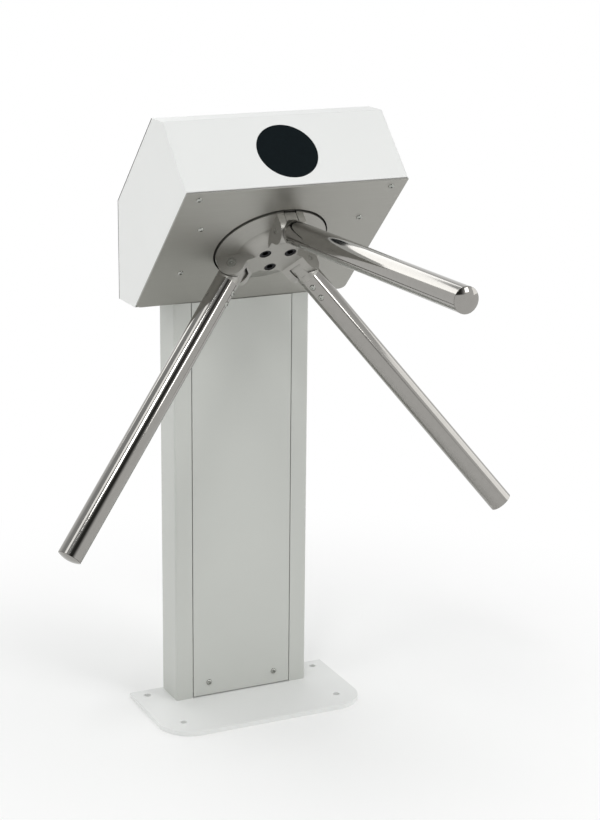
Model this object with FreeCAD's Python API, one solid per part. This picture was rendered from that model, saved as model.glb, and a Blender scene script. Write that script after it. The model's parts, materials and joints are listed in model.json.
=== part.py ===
"""Tripod turnstile: a floor pillar, a slanted head and a hub with three drop arms.

Units are millimetres. +Z is up, the front is -Y, and the origin is the centre of the
base plate's underside. The mechanism is drawn in the face frame: X to the right,
Y up the face plate, Z out of it along the hub's axis, with its origin on the plate's
outer face at the hub's centre.
"""

import FreeCAD, Part
import math
import os

Vec = FreeCAD.Vector
ROOT_HALF = math.sqrt(0.5)

# Base plate
base_width = 375.0
base_depth = 200.0
base_thickness = 8.0
base_corner_radius = 58.0
anchor_hole_radius = 6.0
rear_anchor_spacing = 324.0
rear_anchor_inset = 22.0
front_anchor_spacing = 293.0
front_anchor_inset = 47.0
cable_hole_radius = 25.0

# Pillar
column_width = 250.0
column_depth = 66.0
column_back_inset = 1.0
column_wall = 3.0
column_bend = 4.0
flange_width = 31.3
top_plate_thickness = 5.0
panel_gap = 1.5
panel_foot_gap = 2.0
panel_top_gap = 0.5
panel_screw_spacing = 125.0
panel_screw_height = 25.0
bracket_height = 26.0
bracket_thickness = 2.0
bracket_overlap = 20.0
bracket_end_inset = 12.0

# Head outline
head_width = 385.0
head_bottom = 725.0
head_front_offset = 1.0
plate_length = 320.0
nose_slope_length = 139.6
slab_thickness = 172.0
head_back_overhang = 11.0
sheet = 1.5
sheet_bend = 3.0
face_plate_thickness = 3.0
face_plate_corner = 11.0
nose_flange = 40.0
nose_gap = 0.8
floor_thickness = 3.0
floor_front_gap = 0.3
head_bolt_spacing_x = 180.0
head_bolt_spacing_y = 36.0
head_bolt_radius = 4.0
head_bolt_head_radius = 6.5
head_bolt_head_height = 5.3
head_bolt_grip = 12.0

# Indicator in the nose slope
window_radius = 51.4
window_thickness = 3.0
holder_wall = 6.0
holder_depth = 16.0
holder_back = 2.0
board_thickness = 1.6
led_count = 6
led_circle_radius = 32.0
led_radius = 2.5
led_height = 4.0
fit_gap = 0.2

# Hub and its place on the face plate
hub_from_nose = 158.5
hub_turn = -2.2
hub_radius = 94.0
hub_hole_radius = 96.9
hub_back = 6.0
hub_rim = 3.0
cone_foot_radius = 62.0
cone_foot_height = 10.0
cone_middle_radius = 46.5
cone_middle_height = 15.5
boss_radius = 38.0
boss_height = 27.5
hub_screw_circle = 26.0
hub_screw_radius = 6.0
hub_screw_head_radius = 9.0
hub_screw_head_height = 12.0
hub_screw_recess = 13.0
hub_screw_counterbore = 10.0
hub_screw_socket = 10.0
hub_screw_first_angle = 30.0

# Arms and their pivots
arm_count = 3
arm_first_angle = 90.0
arm_lean = 45.0
pivot_radius_from_axis = 69.5
pivot_height = 21.2
ear_radius = 22.0
ear_thickness = 12.0
ear_foot = 1.0
tongue_width = 21.0
tongue_half_height = 19.0
tongue_side_gap = 0.75
slot_wall_gap = 1.0
pivot_bolt_radius = 5.0
pivot_clearance = 0.05
pivot_head_radius = 8.0
pivot_head_height = 5.75
pivot_head_recess = 6.0
pivot_head_gap = 0.2
pivot_socket = 6.0
pivot_end_inset = 0.4
tube_radius = 20.0
tube_wall = 3.0
tube_start = 26.0
arm_end = 549.7
shoulder_start = 16.0
shoulder_gap = 0.7
plug_length = 54.0
plug_gap = 0.05
cap_rise = 4.7
cap_plug_length = 12.0
arm_screw_first = 40.0
arm_screw_pitch = 22.0
arm_screw_head_radius = 5.0
arm_screw_head_height = 2.6
arm_screw_shank_radius = 3.0
arm_screw_length = 13.0
arm_screw_seat_depth = 0.9
arm_screw_seat_gap = 0.5
arm_screw_spot_overrun = 1.0

# Face plate screws
pan_head_radius = 5.0
pan_head_height = 3.2
pan_slot_length = 5.5
pan_slot_width = 1.0
pan_shank_radius = 2.5
pan_shank_length = 15.0
nose_screw_spacing = 334.0
nose_screw_height = 142.0
chassis_screw_spacing = 280.0
chassis_screw_upper = 59.0
chassis_screw_lower = -64.0

# Mechanism, counted inwards from the face plate's outer face
chassis_depth = 30.0
chassis_thickness = 8.0
chassis_width = 320.0
chassis_top = 80.0
chassis_bottom = -150.0
chassis_bore_radius = 48.0
standoff_radius = 8.0
leg_side_inset = 2.0
leg_thickness = 6.0
leg_top = -64.0
leg_back_gap = 4.0
leg_back_height = 135.0
shaft_flange_radius = 40.0
shaft_flange_thickness = 12.0
shaft_shoulder_radius = 23.0
shaft_radius = 17.5
bearing_width = 17.0
bearing_outer_radius = 36.0
bearing_inner_land = 22.5
bearing_outer_land = 30.7
roller_radius = 5.0
roller_length = 10.0
roller_count = 8
roller_gap = 0.1
housing_lip = 5.0
housing_lip_radius = 28.0
housing_radius = 45.0
housing_length = 77.0
rear_bearing_inset = 3.0
housing_flange_radius = 68.0
housing_flange_thickness = 12.0
housing_bolt_count = 4
housing_bolt_circle = 57.0
housing_bolt_radius = 4.0
housing_bolt_head_radius = 6.5
housing_bolt_head_height = 8.0
housing_bolt_socket_depth = 4.0
shaft_end_radius = 15.0
shaft_step_inset = 2.0
lock_disc_radius = 70.0
lock_disc_thickness = 8.0
lock_disc_front_hub = 6.0
lock_disc_rear_hub = 3.5
lock_disc_hub_radius = 23.0
notch_count = 12
notch_depth = 7.0
notch_mouth = 14.0
notch_floor = 11.0
sensor_disc_radius = 80.0
sensor_disc_thickness = 1.5
sensor_slot_count = 24
sensor_slot_length = 8.0
sensor_slot_width = 4.0
sensor_slot_inset = 2.0
shaft_nut_across_flats = 46.0
shaft_nut_thickness = 8.0
shaft_tail_radius = 7.0
shaft_tail_length = 21.0
rear_plate_gap = 3.0
rear_plate_thickness = 4.0
rear_plate_width = 310.0
rear_plate_top = 95.0
rear_plate_bottom = -90.0
rear_plate_bore = 32.0
post_radius = 6.0
upper_post_x = 100.0
upper_post_y = 80.0
lower_post_x = 70.0
lower_post_y = -75.0
damper_radius = 35.0
damper_thickness = 20.0
damper_bore_gap = 0.05
damper_bore_spare = 2.0

# Lock pawls and their solenoids
pawl_pivot_x = 84.0
pawl_pivot_y = -40.0
pawl_half_width = 6.0
pawl_eye_radius = 10.0
pawl_pin_radius = 4.0
pawl_pin_gap = 0.05
pawl_reach = 80.0
pawl_tooth_gap = 1.5
pawl_tooth_width = 8.0
plunger_height = 30.0
plunger_radius = 5.0
plunger_gap = 0.3
plunger_length = 50.0
plunger_fit = 0.05
solenoid_start = 106.0
solenoid_length = 45.0
solenoid_side = 30.0

# Position sensor
fork_width = 20.0
fork_reach = 6.0
fork_height = 16.0
fork_gap = 1.2
fork_arm = 2.5

# Control board inside the pillar
control_board_width = 140.0
control_board_height = 180.0
control_board_bottom = 380.0
control_standoff = 8.0
control_standoff_radius = 4.0
control_standoff_inset = 8.0
transformer_width = 45.0
transformer_depth = 34.0
transformer_height = 40.0
transformer_left = 12.0
transformer_low = 110.0
relay_width = 18.0
relay_depth = 15.0
relay_height = 28.0
relay_left = 72.0
relay_low = 118.0
relay_pitch = 24.0
capacitor_radius = 8.0
capacitor_length = 26.0
capacitor_middle = 34.0
capacitor_height = 78.0
terminal_width = 52.0
terminal_depth = 12.0
terminal_height = 14.0
terminal_left = 14.0
terminal_low = 18.0
terminal_pitch = 60.0

# Hood lock
lock_height = 65.0
lock_barrel_radius = 9.0
lock_flange_radius = 11.0
lock_flange_thickness = 3.0
lock_barrel_length = 26.0
lock_plug_radius = 6.5
lock_plug_gap = 0.05
lock_plug_proud = 0.5
lock_plug_tail = 2.0
key_slot_width = 2.0
key_slot_height = 8.0
key_slot_depth = 6.0
cam_thickness = 3.0
cam_half_width = 7.0
cam_reach = 28.0

# Places worked out from the sizes above
column_back = base_depth / 2 - column_back_inset
column_front = column_back - column_depth
top_plate_under = head_bottom - top_plate_thickness
opening_half = column_width / 2 - flange_width
head_front = column_front + head_front_offset
nose_y = head_front - plate_length * ROOT_HALF
nose_z = head_bottom + plate_length * ROOT_HALF
hub_y = nose_y + hub_from_nose * ROOT_HALF
hub_z = nose_z - hub_from_nose * ROOT_HALF
slope_top_y = nose_y + nose_slope_length * ROOT_HALF
slope_top_z = nose_z + nose_slope_length * ROOT_HALF
head_back = column_back + head_back_overhang
inner_half = head_width / 2 - sheet
leg_spacing = column_width - leg_thickness - 2 * leg_side_inset
tube_bore = tube_radius - tube_wall
ear_half_span = tongue_width / 2 + tongue_side_gap + ear_thickness
slot_half = tongue_width / 2 + tongue_side_gap
slot_inner = pivot_radius_from_axis - tongue_half_height - slot_wall_gap
chassis_back = chassis_depth + chassis_thickness
front_bearing_face = chassis_back + housing_lip
rear_bearing_back = chassis_back + housing_length - rear_bearing_inset
rear_bearing_face = rear_bearing_back - bearing_width
lock_disc_face = rear_bearing_back + lock_disc_front_hub
lock_disc_back = lock_disc_face + lock_disc_thickness
sensor_disc_face = lock_disc_back + lock_disc_rear_hub
shaft_nut_face = sensor_disc_face + sensor_disc_thickness
rear_plate_face = shaft_nut_face + shaft_nut_thickness + rear_plate_gap
rear_plate_back = rear_plate_face + rear_plate_thickness
lock_middle = lock_disc_face + lock_disc_thickness / 2
lock_z = head_bottom + lock_height

face_place = FreeCAD.Placement(Vec(0, hub_y, hub_z), FreeCAD.Rotation(Vec(1, 0, 0), 135))
turn_place = FreeCAD.Placement(Vec(0, 0, 0), FreeCAD.Rotation(Vec(0, 0, 1), hub_turn))


def block(x0, x1, y0, y1, z0, z1):
    """A box between two corners."""
    return Part.makeBox(x1 - x0, y1 - y0, z1 - z0, Vec(x0, y0, z0))


def rod(radius, start, end):
    """A round bar from one point to another."""
    axis = end.sub(start)
    return Part.makeCylinder(radius, axis.Length, start, axis)


def disc(radius, z0, z1):
    """A round plate about the Z axis."""
    return rod(radius, Vec(0, 0, z0), Vec(0, 0, z1))


def ring(outer, inner, z0, z1):
    """A tube about the Z axis."""
    return disc(outer, z0, z1).cut(disc(inner, z0, z1))


def hexagon(across_flats, z0, z1):
    """A hexagonal bar about the Z axis."""
    reach = across_flats / math.sqrt(3)
    corners = []
    for step in range(7):
        angle = math.radians(60 * step)
        corners.append(Vec(reach * math.cos(angle), reach * math.sin(angle), z0))
    return Part.Face(Part.makePolygon(corners)).extrude(Vec(0, 0, z1 - z0))


def profile(points, x0, x1):
    """A (y, z) outline drawn out along X."""
    wire = Part.makePolygon([Vec(x0, y, z) for y, z in points + points[:1]])
    return Part.Face(wire).extrude(Vec(x1 - x0, 0, 0))


def moved(shape, placement):
    """A copy of a shape, placed."""
    copy = shape.copy()
    copy.Placement = placement.multiply(copy.Placement)
    return copy


def shifted(shape, x, y, z):
    """A copy of a shape, moved."""
    return moved(shape, FreeCAD.Placement(Vec(x, y, z), FreeCAD.Rotation()))


def turned(shape, angle):
    """A copy of a shape, turned about the Z axis."""
    return moved(shape, FreeCAD.Placement(Vec(0, 0, 0), FreeCAD.Rotation(Vec(0, 0, 1), angle)))


def pattern(shape, count, first_angle=0.0):
    """Copies of a shape spread evenly about the Z axis."""
    return [turned(shape, first_angle + 360.0 * step / count) for step in range(count)]


def on_face(shape):
    """Place a shape drawn in the face frame."""
    return moved(shape, face_place)


def on_hub(shape):
    """Place a shape drawn in the hub's own frame, which stands a little off level."""
    return moved(shape, face_place.multiply(turn_place))


def rounded(shape, radius, edges):
    """Fillet the edges of a shape that a test picks out."""
    return shape.makeFillet(radius, [edge for edge in shape.Edges if edges(edge)])


def runs_along(edge, direction):
    """True for a straight edge along a direction."""
    if not isinstance(edge.Curve, Part.Line):
        return False
    return abs(abs(edge.Curve.Direction.dot(direction)) - 1) < 1e-6


def folded_sheet(points, thickness, x0, x1, bend):
    """A bent sheet whose outer face follows an open (y, z) line, metal on its left."""
    inner = []
    runs = [unit(start, end) for start, end in zip(points, points[1:])]
    for point, lead, trail in zip(points, runs[:1] + runs, runs + runs[-1:]):
        miter = 1 + lead[0] * trail[0] + lead[1] * trail[1]
        side = (-(lead[1] + trail[1]) / miter, (lead[0] + trail[0]) / miter)
        inner.append((point[0] + thickness * side[0], point[1] + thickness * side[1]))
    solid = profile(points + inner[::-1], x0, x1)
    outer_bends = [Vec(0, y, z) for y, z in points[1:-1]]
    inner_bends = [Vec(0, y, z) for y, z in inner[1:-1]]

    def at(edge, bends):
        middle = edge.Vertexes[0].Point
        flat = Vec(0, middle.y, middle.z)
        return runs_along(edge, Vec(1, 0, 0)) and any(flat.distanceToPoint(b) < 1e-4 for b in bends)

    solid = rounded(solid, bend, lambda edge: at(edge, outer_bends))
    return rounded(solid, bend - thickness, lambda edge: at(edge, inner_bends))


def unit(start, end):
    """The direction from one flat point to another."""
    length = math.hypot(end[0] - start[0], end[1] - start[1])
    return ((end[0] - start[0]) / length, (end[1] - start[1]) / length)


def save(name, shapes):
    """Write one node, a solid or a group of separate solids."""
    shape = shapes if not isinstance(shapes, list) else Part.makeCompound(shapes)
    shape.exportStep("parts/" + name + ".step")


# Outlines shared by several pieces


def head_outline(plate_inset):
    """The head's (y, z) outline seen from the side, cut back behind the face plate."""
    inset = plate_inset * ROOT_HALF
    depth = slab_thickness - nose_slope_length
    top_back = (slope_top_y + depth / ROOT_HALF, slope_top_z)
    shoulder_z = slope_top_z - (head_back - top_back[0])
    return [
        top_back,
        (slope_top_y, slope_top_z),
        (nose_y + inset, nose_z + inset),
        (head_front + plate_inset / ROOT_HALF, head_bottom),
        (head_back, head_bottom),
        (head_back, shoulder_z),
    ]


def chassis_screw_places():
    """Face-frame places of the four screws that hold the chassis."""
    half = chassis_screw_spacing / 2
    return [(x, y) for x in (-half, half) for y in (chassis_screw_upper, chassis_screw_lower)]


def nose_screw_places():
    """Face-frame places of the two screws in the nose flange."""
    half = nose_screw_spacing / 2
    return [(-half, nose_screw_height), (half, nose_screw_height)]


def head_bolt_places():
    """Places of the four bolts between head and pillar."""
    middle = (column_front + column_back) / 2
    half_x = head_bolt_spacing_x / 2
    half_y = head_bolt_spacing_y / 2
    return [(x, middle + y) for x in (-half_x, half_x) for y in (-half_y, half_y)]


def cable_hole(z0, z1):
    """The cable way up the middle of the pillar."""
    middle = (column_front + column_back) / 2
    return shifted(disc(cable_hole_radius, z0, z1), 0, middle, 0)


def post_places():
    """Face-frame places of the posts behind the chassis."""
    posts = ((upper_post_x, upper_post_y), (lower_post_x, lower_post_y))
    return [(side * x, y) for side in (-1, 1) for x, y in posts]


# Pillar pieces


def make_base_plate():
    """The floor plate: square at the back, round at the front, four anchor holes."""
    half = base_depth / 2
    plate = block(-base_width / 2, base_width / 2, -half, half, 0, base_thickness)
    plate = rounded(plate, base_corner_radius, lambda edge: runs_along(edge, Vec(0, 0, 1))
                    and edge.Vertexes[0].Point.y < 0)
    rear_pair = (rear_anchor_spacing, half - rear_anchor_inset)
    front_pair = (front_anchor_spacing, front_anchor_inset - half)
    for spacing, y in (rear_pair, front_pair):
        for x in (-spacing / 2, spacing / 2):
            plate = plate.cut(shifted(disc(anchor_hole_radius, 0, base_thickness), x, y, 0))
    return plate.cut(cable_hole(0, base_thickness))


def make_column():
    """The pillar: one folded sheet, open at the front between two flanges."""
    half = column_width / 2
    shell = block(-half, half, column_front, column_back, base_thickness, head_bottom)
    shell = rounded(shell, column_bend, lambda edge: runs_along(edge, Vec(0, 0, 1)))
    inside = block(-half + column_wall, half - column_wall, column_front + column_wall,
                   column_back - column_wall, base_thickness, head_bottom)
    inside = rounded(inside, column_bend - column_wall, lambda edge: runs_along(edge, Vec(0, 0, 1)))
    mouth = block(-opening_half, opening_half, column_front, column_front + column_wall,
                  base_thickness, head_bottom)
    return shell.cut(inside).cut(mouth)


def make_column_top_plate():
    """The plate set in the pillar's upper end, which carries the head."""
    half = column_width / 2 - column_wall
    plate = block(-half, half, column_front + column_wall, column_back - column_wall, top_plate_under,
                  head_bottom)
    plate = rounded(plate, column_bend - column_wall, lambda edge: runs_along(edge, Vec(0, 0, 1)))
    for x, y in head_bolt_places():
        plate = plate.cut(shifted(disc(head_bolt_radius, top_plate_under, head_bottom), x, y, 0))
    return plate.cut(cable_hole(top_plate_under, head_bottom))


def panel_screw_places():
    """Places of the two screws at the foot of the front panel."""
    half = panel_screw_spacing / 2
    return [(-half, base_thickness + panel_screw_height), (half, base_thickness + panel_screw_height)]


def panel_rod(radius, x, z, y0, y1):
    """A bar through the front panel."""
    return rod(radius, Vec(x, y0, z), Vec(x, y1, z))


def make_front_panel():
    """The removable panel, flush with the pillar's flanges."""
    half = opening_half - panel_gap
    back = column_front + column_wall
    low = base_thickness + panel_foot_gap
    panel = block(-half, half, column_front, back, low, head_bottom - panel_top_gap)
    for x, z in panel_screw_places():
        panel = panel.cut(panel_rod(pan_shank_radius, x, z, column_front, back))
    return panel


def make_panel_brackets():
    """Two straps behind the flanges that the front panel seats on."""
    half = opening_half + bracket_overlap
    front = column_front + column_wall
    back = front + bracket_thickness
    low = base_thickness + bracket_end_inset
    high = top_plate_under - bracket_end_inset - bracket_height
    lower = block(-half, half, front, back, low, low + bracket_height)
    upper = block(-half, half, front, back, high, high + bracket_height)
    for x, z in panel_screw_places():
        lower = lower.cut(panel_rod(pan_shank_radius, x, z, front, back))
    return [lower, upper]


def pan_screw(length):
    """A pan-head screw about Z: its head stands on z = 0, its shank points down."""
    head = crowned(pan_head_radius, pan_head_height)
    for angle in (0, 90):
        slot = block(-pan_slot_length / 2, pan_slot_length / 2, -pan_slot_width / 2, pan_slot_width / 2,
                     pan_head_height / 2, pan_head_height)
        head = head.cut(turned(slot, angle))
    return head.fuse(disc(pan_shank_radius, -length, 0)).removeSplitter()


def crowned(radius, height):
    """A round head about Z whose upper half leans in."""
    foot = disc(radius, 0, height / 2)
    return foot.fuse(Part.makeCone(radius, radius - height / 2, height / 2, Vec(0, 0, height / 2)))


def make_panel_screws():
    """The two screws at the foot of the front panel."""
    turn = FreeCAD.Rotation(Vec(1, 0, 0), 90)
    screws = []
    for x, z in panel_screw_places():
        screws.append(moved(pan_screw(pan_shank_length), FreeCAD.Placement(Vec(x, column_front, z), turn)))
    return screws


# Head shells


def make_hood_wrapper():
    """The bent cover: nose flange, slope with its window, top, rear slope and back."""
    outline = head_outline(face_plate_thickness + nose_gap)
    top_back, slope_top, nose, _, back_low, back_high = outline
    reach = nose_flange * ROOT_HALF
    flange_end = (nose[0] + reach, nose[1] - reach)
    line = [back_low, back_high, top_back, slope_top, nose, flange_end]
    cover = folded_sheet(line, sheet, -inner_half, inner_half, sheet_bend)
    cover = cover.cut(on_slope(disc(window_radius + fit_gap, -2 * sheet, sheet)))
    for x, y in nose_screw_places():
        cover = cover.cut(on_face(shifted(disc(pan_shank_radius, -pan_shank_length, 0), x, y, 0)))
    return cover.cut(lock_rod(lock_barrel_radius, head_back - 2 * sheet, head_back + sheet))


def on_slope(shape):
    """Place a shape whose Z axis stands out of the middle of the nose slope."""
    middle = Vec(0, (nose_y + slope_top_y) / 2, (nose_z + slope_top_z) / 2)
    return moved(shape, FreeCAD.Placement(middle, FreeCAD.Rotation(Vec(1, 0, 0), 45)))


def make_side_panel(side):
    """One flat side of the head."""
    edge = side * head_width / 2
    inner = side * inner_half
    return profile(head_outline(face_plate_thickness), min(edge, inner), max(edge, inner))


def make_face_plate():
    """The stainless front plate with the hub's hole and six screw holes."""
    half = head_width / 2
    low = hub_from_nose - plate_length
    plate = block(-half, half, low, hub_from_nose, -face_plate_thickness, 0)
    plate = rounded(plate, face_plate_corner, lambda edge: runs_along(edge, Vec(0, 0, 1))
                    and edge.Vertexes[0].Point.y < 0)
    plate = plate.cut(disc(hub_hole_radius, -face_plate_thickness, 0))
    for x, y in chassis_screw_places() + nose_screw_places():
        plate = plate.cut(shifted(disc(pan_shank_radius, -face_plate_thickness, 0), x, y, 0))
    return on_face(plate)


def make_face_plate_screws():
    """The six screws on the face plate."""
    places = chassis_screw_places() + nose_screw_places()
    return [on_face(shifted(pan_screw(pan_shank_length), x, y, 0)) for x, y in places]


def make_head_floor():
    """The floor of the head, bolted to the pillar."""
    front = head_front + face_plate_thickness / ROOT_HALF + floor_front_gap
    top = head_bottom + floor_thickness
    plate = block(-inner_half, inner_half, front, head_back - sheet, head_bottom, top)
    for x, y in head_bolt_places():
        plate = plate.cut(shifted(disc(head_bolt_radius, head_bottom, top), x, y, 0))
    return plate.cut(cable_hole(head_bottom, top))


def make_head_bolts():
    """Four hexagon bolts down through the head's floor into the pillar."""
    top = head_bottom + floor_thickness
    bolt = hexagon(head_bolt_head_radius * math.sqrt(3), top, top + head_bolt_head_height)
    bolt = bolt.fuse(disc(head_bolt_radius, top - head_bolt_grip, top))
    return [shifted(bolt, x, y, 0) for x, y in head_bolt_places()]


# Indicator pieces, drawn with Z out of the slope


def make_indicator_window():
    """The dark lens, flush with the slope."""
    return on_slope(disc(window_radius, -window_thickness, 0))


def make_indicator_holder():
    """The cup behind the lens, on the inner face of the slope."""
    outer = window_radius + holder_wall
    cup = ring(outer, window_radius + fit_gap, -window_thickness, -sheet)
    cup = cup.fuse(ring(outer, window_radius - holder_wall, -holder_depth, -window_thickness))
    cup = cup.fuse(disc(outer, -holder_depth - holder_back, -holder_depth))
    return on_slope(cup.removeSplitter())


def make_indicator_board():
    """The round circuit board on the floor of the cup."""
    radius = window_radius - holder_wall - fit_gap
    return on_slope(disc(radius, -holder_depth, board_thickness - holder_depth))


def make_indicator_leds():
    """A ring of light-emitting diodes on the board."""
    foot = board_thickness - holder_depth
    led = shifted(crowned(led_radius, led_height), led_circle_radius, 0, foot)
    return [on_slope(copy) for copy in pattern(led, led_count)]


# Fixed mechanism pieces, drawn in the face frame


def make_chassis_plate():
    """The thick plate behind the face plate that carries the bearings."""
    half = chassis_width / 2
    plate = block(-half, half, chassis_bottom, chassis_top, -chassis_back, -chassis_depth)
    plate = plate.cut(disc(chassis_bore_radius, -chassis_back, -chassis_depth))
    hole = shifted(disc(housing_bolt_radius, -chassis_back, -chassis_depth), housing_bolt_circle, 0, 0)
    for copy in pattern(hole, housing_bolt_count, 180.0 / housing_bolt_count):
        plate = plate.cut(copy)
    return on_face(plate)


def make_chassis_standoffs():
    """Four spacers between the face plate and the chassis."""
    spacer = disc(standoff_radius, -chassis_depth, -face_plate_thickness)
    spacer = spacer.cut(disc(pan_shank_radius, -pan_shank_length, -face_plate_thickness))
    return [on_face(shifted(spacer, x, y, 0)) for x, y in chassis_screw_places()]


def make_chassis_legs():
    """Two gusset plates from the head's floor up to the back of the chassis."""
    floor_top = head_bottom + floor_thickness
    inset = chassis_back * ROOT_HALF
    rise = leg_top * ROOT_HALF
    upper = (hub_y - rise + inset, hub_z + rise + inset)
    foot = (upper[0] + upper[1] - floor_top, floor_top)
    back = head_back - sheet - leg_back_gap
    outline = [upper, foot, (back, floor_top), (back, floor_top + leg_back_height)]
    legs = []
    for side in (-1, 1):
        middle = side * leg_spacing / 2
        legs.append(profile(outline, middle - leg_thickness / 2, middle + leg_thickness / 2))
    return legs


def make_bearing_housing():
    """The flanged housing that the two roller bearings sit in."""
    back = chassis_back + housing_length
    flange_back = chassis_back + housing_flange_thickness
    body = disc(housing_radius, -back, -chassis_back)
    body = body.fuse(disc(housing_flange_radius, -flange_back, -chassis_back))
    body = body.cut(disc(housing_lip_radius, -back, -chassis_back))
    body = body.cut(disc(bearing_outer_radius, -back, -front_bearing_face))
    hole = shifted(disc(housing_bolt_radius, -flange_back, -chassis_back), housing_bolt_circle, 0, 0)
    for copy in pattern(hole, housing_bolt_count, 180.0 / housing_bolt_count):
        body = body.cut(copy)
    return on_face(body.removeSplitter())


def make_housing_bolts():
    """The bolts that hold the housing to the chassis."""
    seat = chassis_back + housing_flange_thickness
    bolt = disc(housing_bolt_radius, -seat, -chassis_depth)
    head = disc(housing_bolt_head_radius, -seat - housing_bolt_head_height, -seat)
    socket_floor = -seat - housing_bolt_head_height + housing_bolt_socket_depth
    head = head.cut(hexagon(housing_bolt_head_radius, -seat - housing_bolt_head_height, socket_floor))
    bolt = shifted(bolt.fuse(head), housing_bolt_circle, 0, 0)
    return [on_face(copy) for copy in pattern(bolt, housing_bolt_count, 180.0 / housing_bolt_count)]


def bearing_faces():
    """Depths of the two bearings' front faces."""
    return (front_bearing_face, rear_bearing_face)


def roller_circle():
    """Radius of the circle that the rollers' centres run on."""
    return (bearing_inner_land + bearing_outer_land) / 2


def roller_track(depth):
    """The groove that a bearing's rollers run in."""
    reach = roller_radius + roller_gap
    middle = depth + bearing_width / 2
    half = roller_length / 2 + roller_gap
    return ring(roller_circle() + reach, roller_circle() - reach, -middle - half, half - middle)


def make_bearing_rings(outer, inner):
    """One race of each bearing."""
    rings = []
    for depth in bearing_faces():
        race = ring(outer, inner, -depth - bearing_width, -depth)
        rings.append(on_face(race.cut(roller_track(depth))))
    return rings


def make_bearing_rollers():
    """The rollers of both bearings."""
    rollers = []
    for depth in bearing_faces():
        middle = depth + bearing_width / 2
        roller = disc(roller_radius, -middle - roller_length / 2, roller_length / 2 - middle)
        roller = shifted(roller, roller_circle(), 0, 0)
        rollers.extend(on_face(copy) for copy in pattern(roller, roller_count))
    return rollers


def make_mechanism_posts():
    """Four posts from the chassis to the rear plate."""
    post = disc(post_radius, -rear_plate_face, -chassis_back)
    return [on_face(shifted(post, x, y, 0)) for x, y in post_places()]


def make_rear_plate():
    """The plate behind the lock disc that carries the lock and the damper."""
    half = rear_plate_width / 2
    plate = block(-half, half, rear_plate_bottom, rear_plate_top, -rear_plate_back, -rear_plate_face)
    return on_face(plate.cut(disc(rear_plate_bore, -rear_plate_back, -rear_plate_face)))


def make_damper_body():
    """The rotary damper on the shaft's tail."""
    back = rear_plate_back + damper_thickness
    tail_end = shaft_nut_face + shaft_nut_thickness + shaft_tail_length + damper_bore_spare
    body = disc(damper_radius, -back, -rear_plate_back)
    return on_face(body.cut(disc(shaft_tail_radius + damper_bore_gap, -tail_end, -rear_plate_back)))


def make_solenoid_bodies():
    """Two square solenoids on the rear plate, one for each pawl."""
    half = solenoid_side / 2
    bodies = []
    for side in (-1, 1):
        near = side * solenoid_start
        far = side * (solenoid_start + solenoid_length)
        body = block(min(near, far), max(near, far), plunger_height - half, plunger_height + half,
                     -rear_plate_face, half - lock_middle)
        start = Vec(near, plunger_height, -lock_middle)
        bore = rod(plunger_radius + plunger_fit, start, Vec(far, plunger_height, -lock_middle))
        bodies.append(on_face(body.cut(bore)))
    return bodies


def make_pawl_pins():
    """The two pins that the pawls swing on, riveted to the rear plate."""
    pin = disc(pawl_pin_radius, -rear_plate_face, -lock_disc_face + pawl_pin_radius)
    collar = ring(pawl_eye_radius, pawl_pin_radius, -rear_plate_face, -lock_disc_back - plunger_gap)
    pin = pin.fuse(collar).removeSplitter()
    return [on_face(shifted(pin, side * pawl_pivot_x, pawl_pivot_y, 0)) for side in (-1, 1)]


def make_position_sensor():
    """The light gate that reads the slotted disc."""
    half = fork_width / 2
    low = sensor_disc_radius - fork_reach
    top = low + fork_height
    front = sensor_disc_face - fork_gap - fork_arm
    gate = block(-half, half, low, top, -rear_plate_face, -front)
    slot = block(-half, half, low, sensor_disc_radius + fork_gap,
                 -shaft_nut_face - fork_gap, fork_gap - sensor_disc_face)
    return on_face(gate.cut(slot))


# Turning pieces


def make_hub():
    """The cone-shaped hub with three pairs of ears."""
    outline = [
        Part.LineSegment(Vec(0, 0, -hub_back), Vec(hub_radius, 0, -hub_back)),
        Part.LineSegment(Vec(hub_radius, 0, -hub_back), Vec(hub_radius, 0, hub_rim)),
        Part.LineSegment(Vec(hub_radius, 0, hub_rim), Vec(cone_foot_radius, 0, cone_foot_height)),
        Part.Arc(Vec(cone_foot_radius, 0, cone_foot_height), Vec(cone_middle_radius, 0, cone_middle_height),
                 Vec(boss_radius, 0, boss_height)),
        Part.LineSegment(Vec(boss_radius, 0, boss_height), Vec(0, 0, boss_height)),
        Part.LineSegment(Vec(0, 0, boss_height), Vec(0, 0, -hub_back)),
    ]
    wire = Part.Wire([line.toShape() for line in outline])
    hub = Part.Face(wire).revolve(Vec(0, 0, 0), Vec(0, 0, 1), 360)
    for copy in pattern(ear_block(), arm_count, arm_first_angle):
        hub = hub.fuse(copy)
    for copy in pattern(ear_cuts(), arm_count, arm_first_angle):
        hub = hub.cut(copy)
    drill = disc(hub_screw_radius, -hub_back, boss_height)
    drill = drill.fuse(disc(hub_screw_counterbore, boss_height - hub_screw_recess, boss_height))
    for copy in pattern(shifted(drill, hub_screw_circle, 0, 0), arm_count, hub_screw_first_angle):
        hub = hub.cut(copy)
    return on_hub(hub.removeSplitter())


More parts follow.
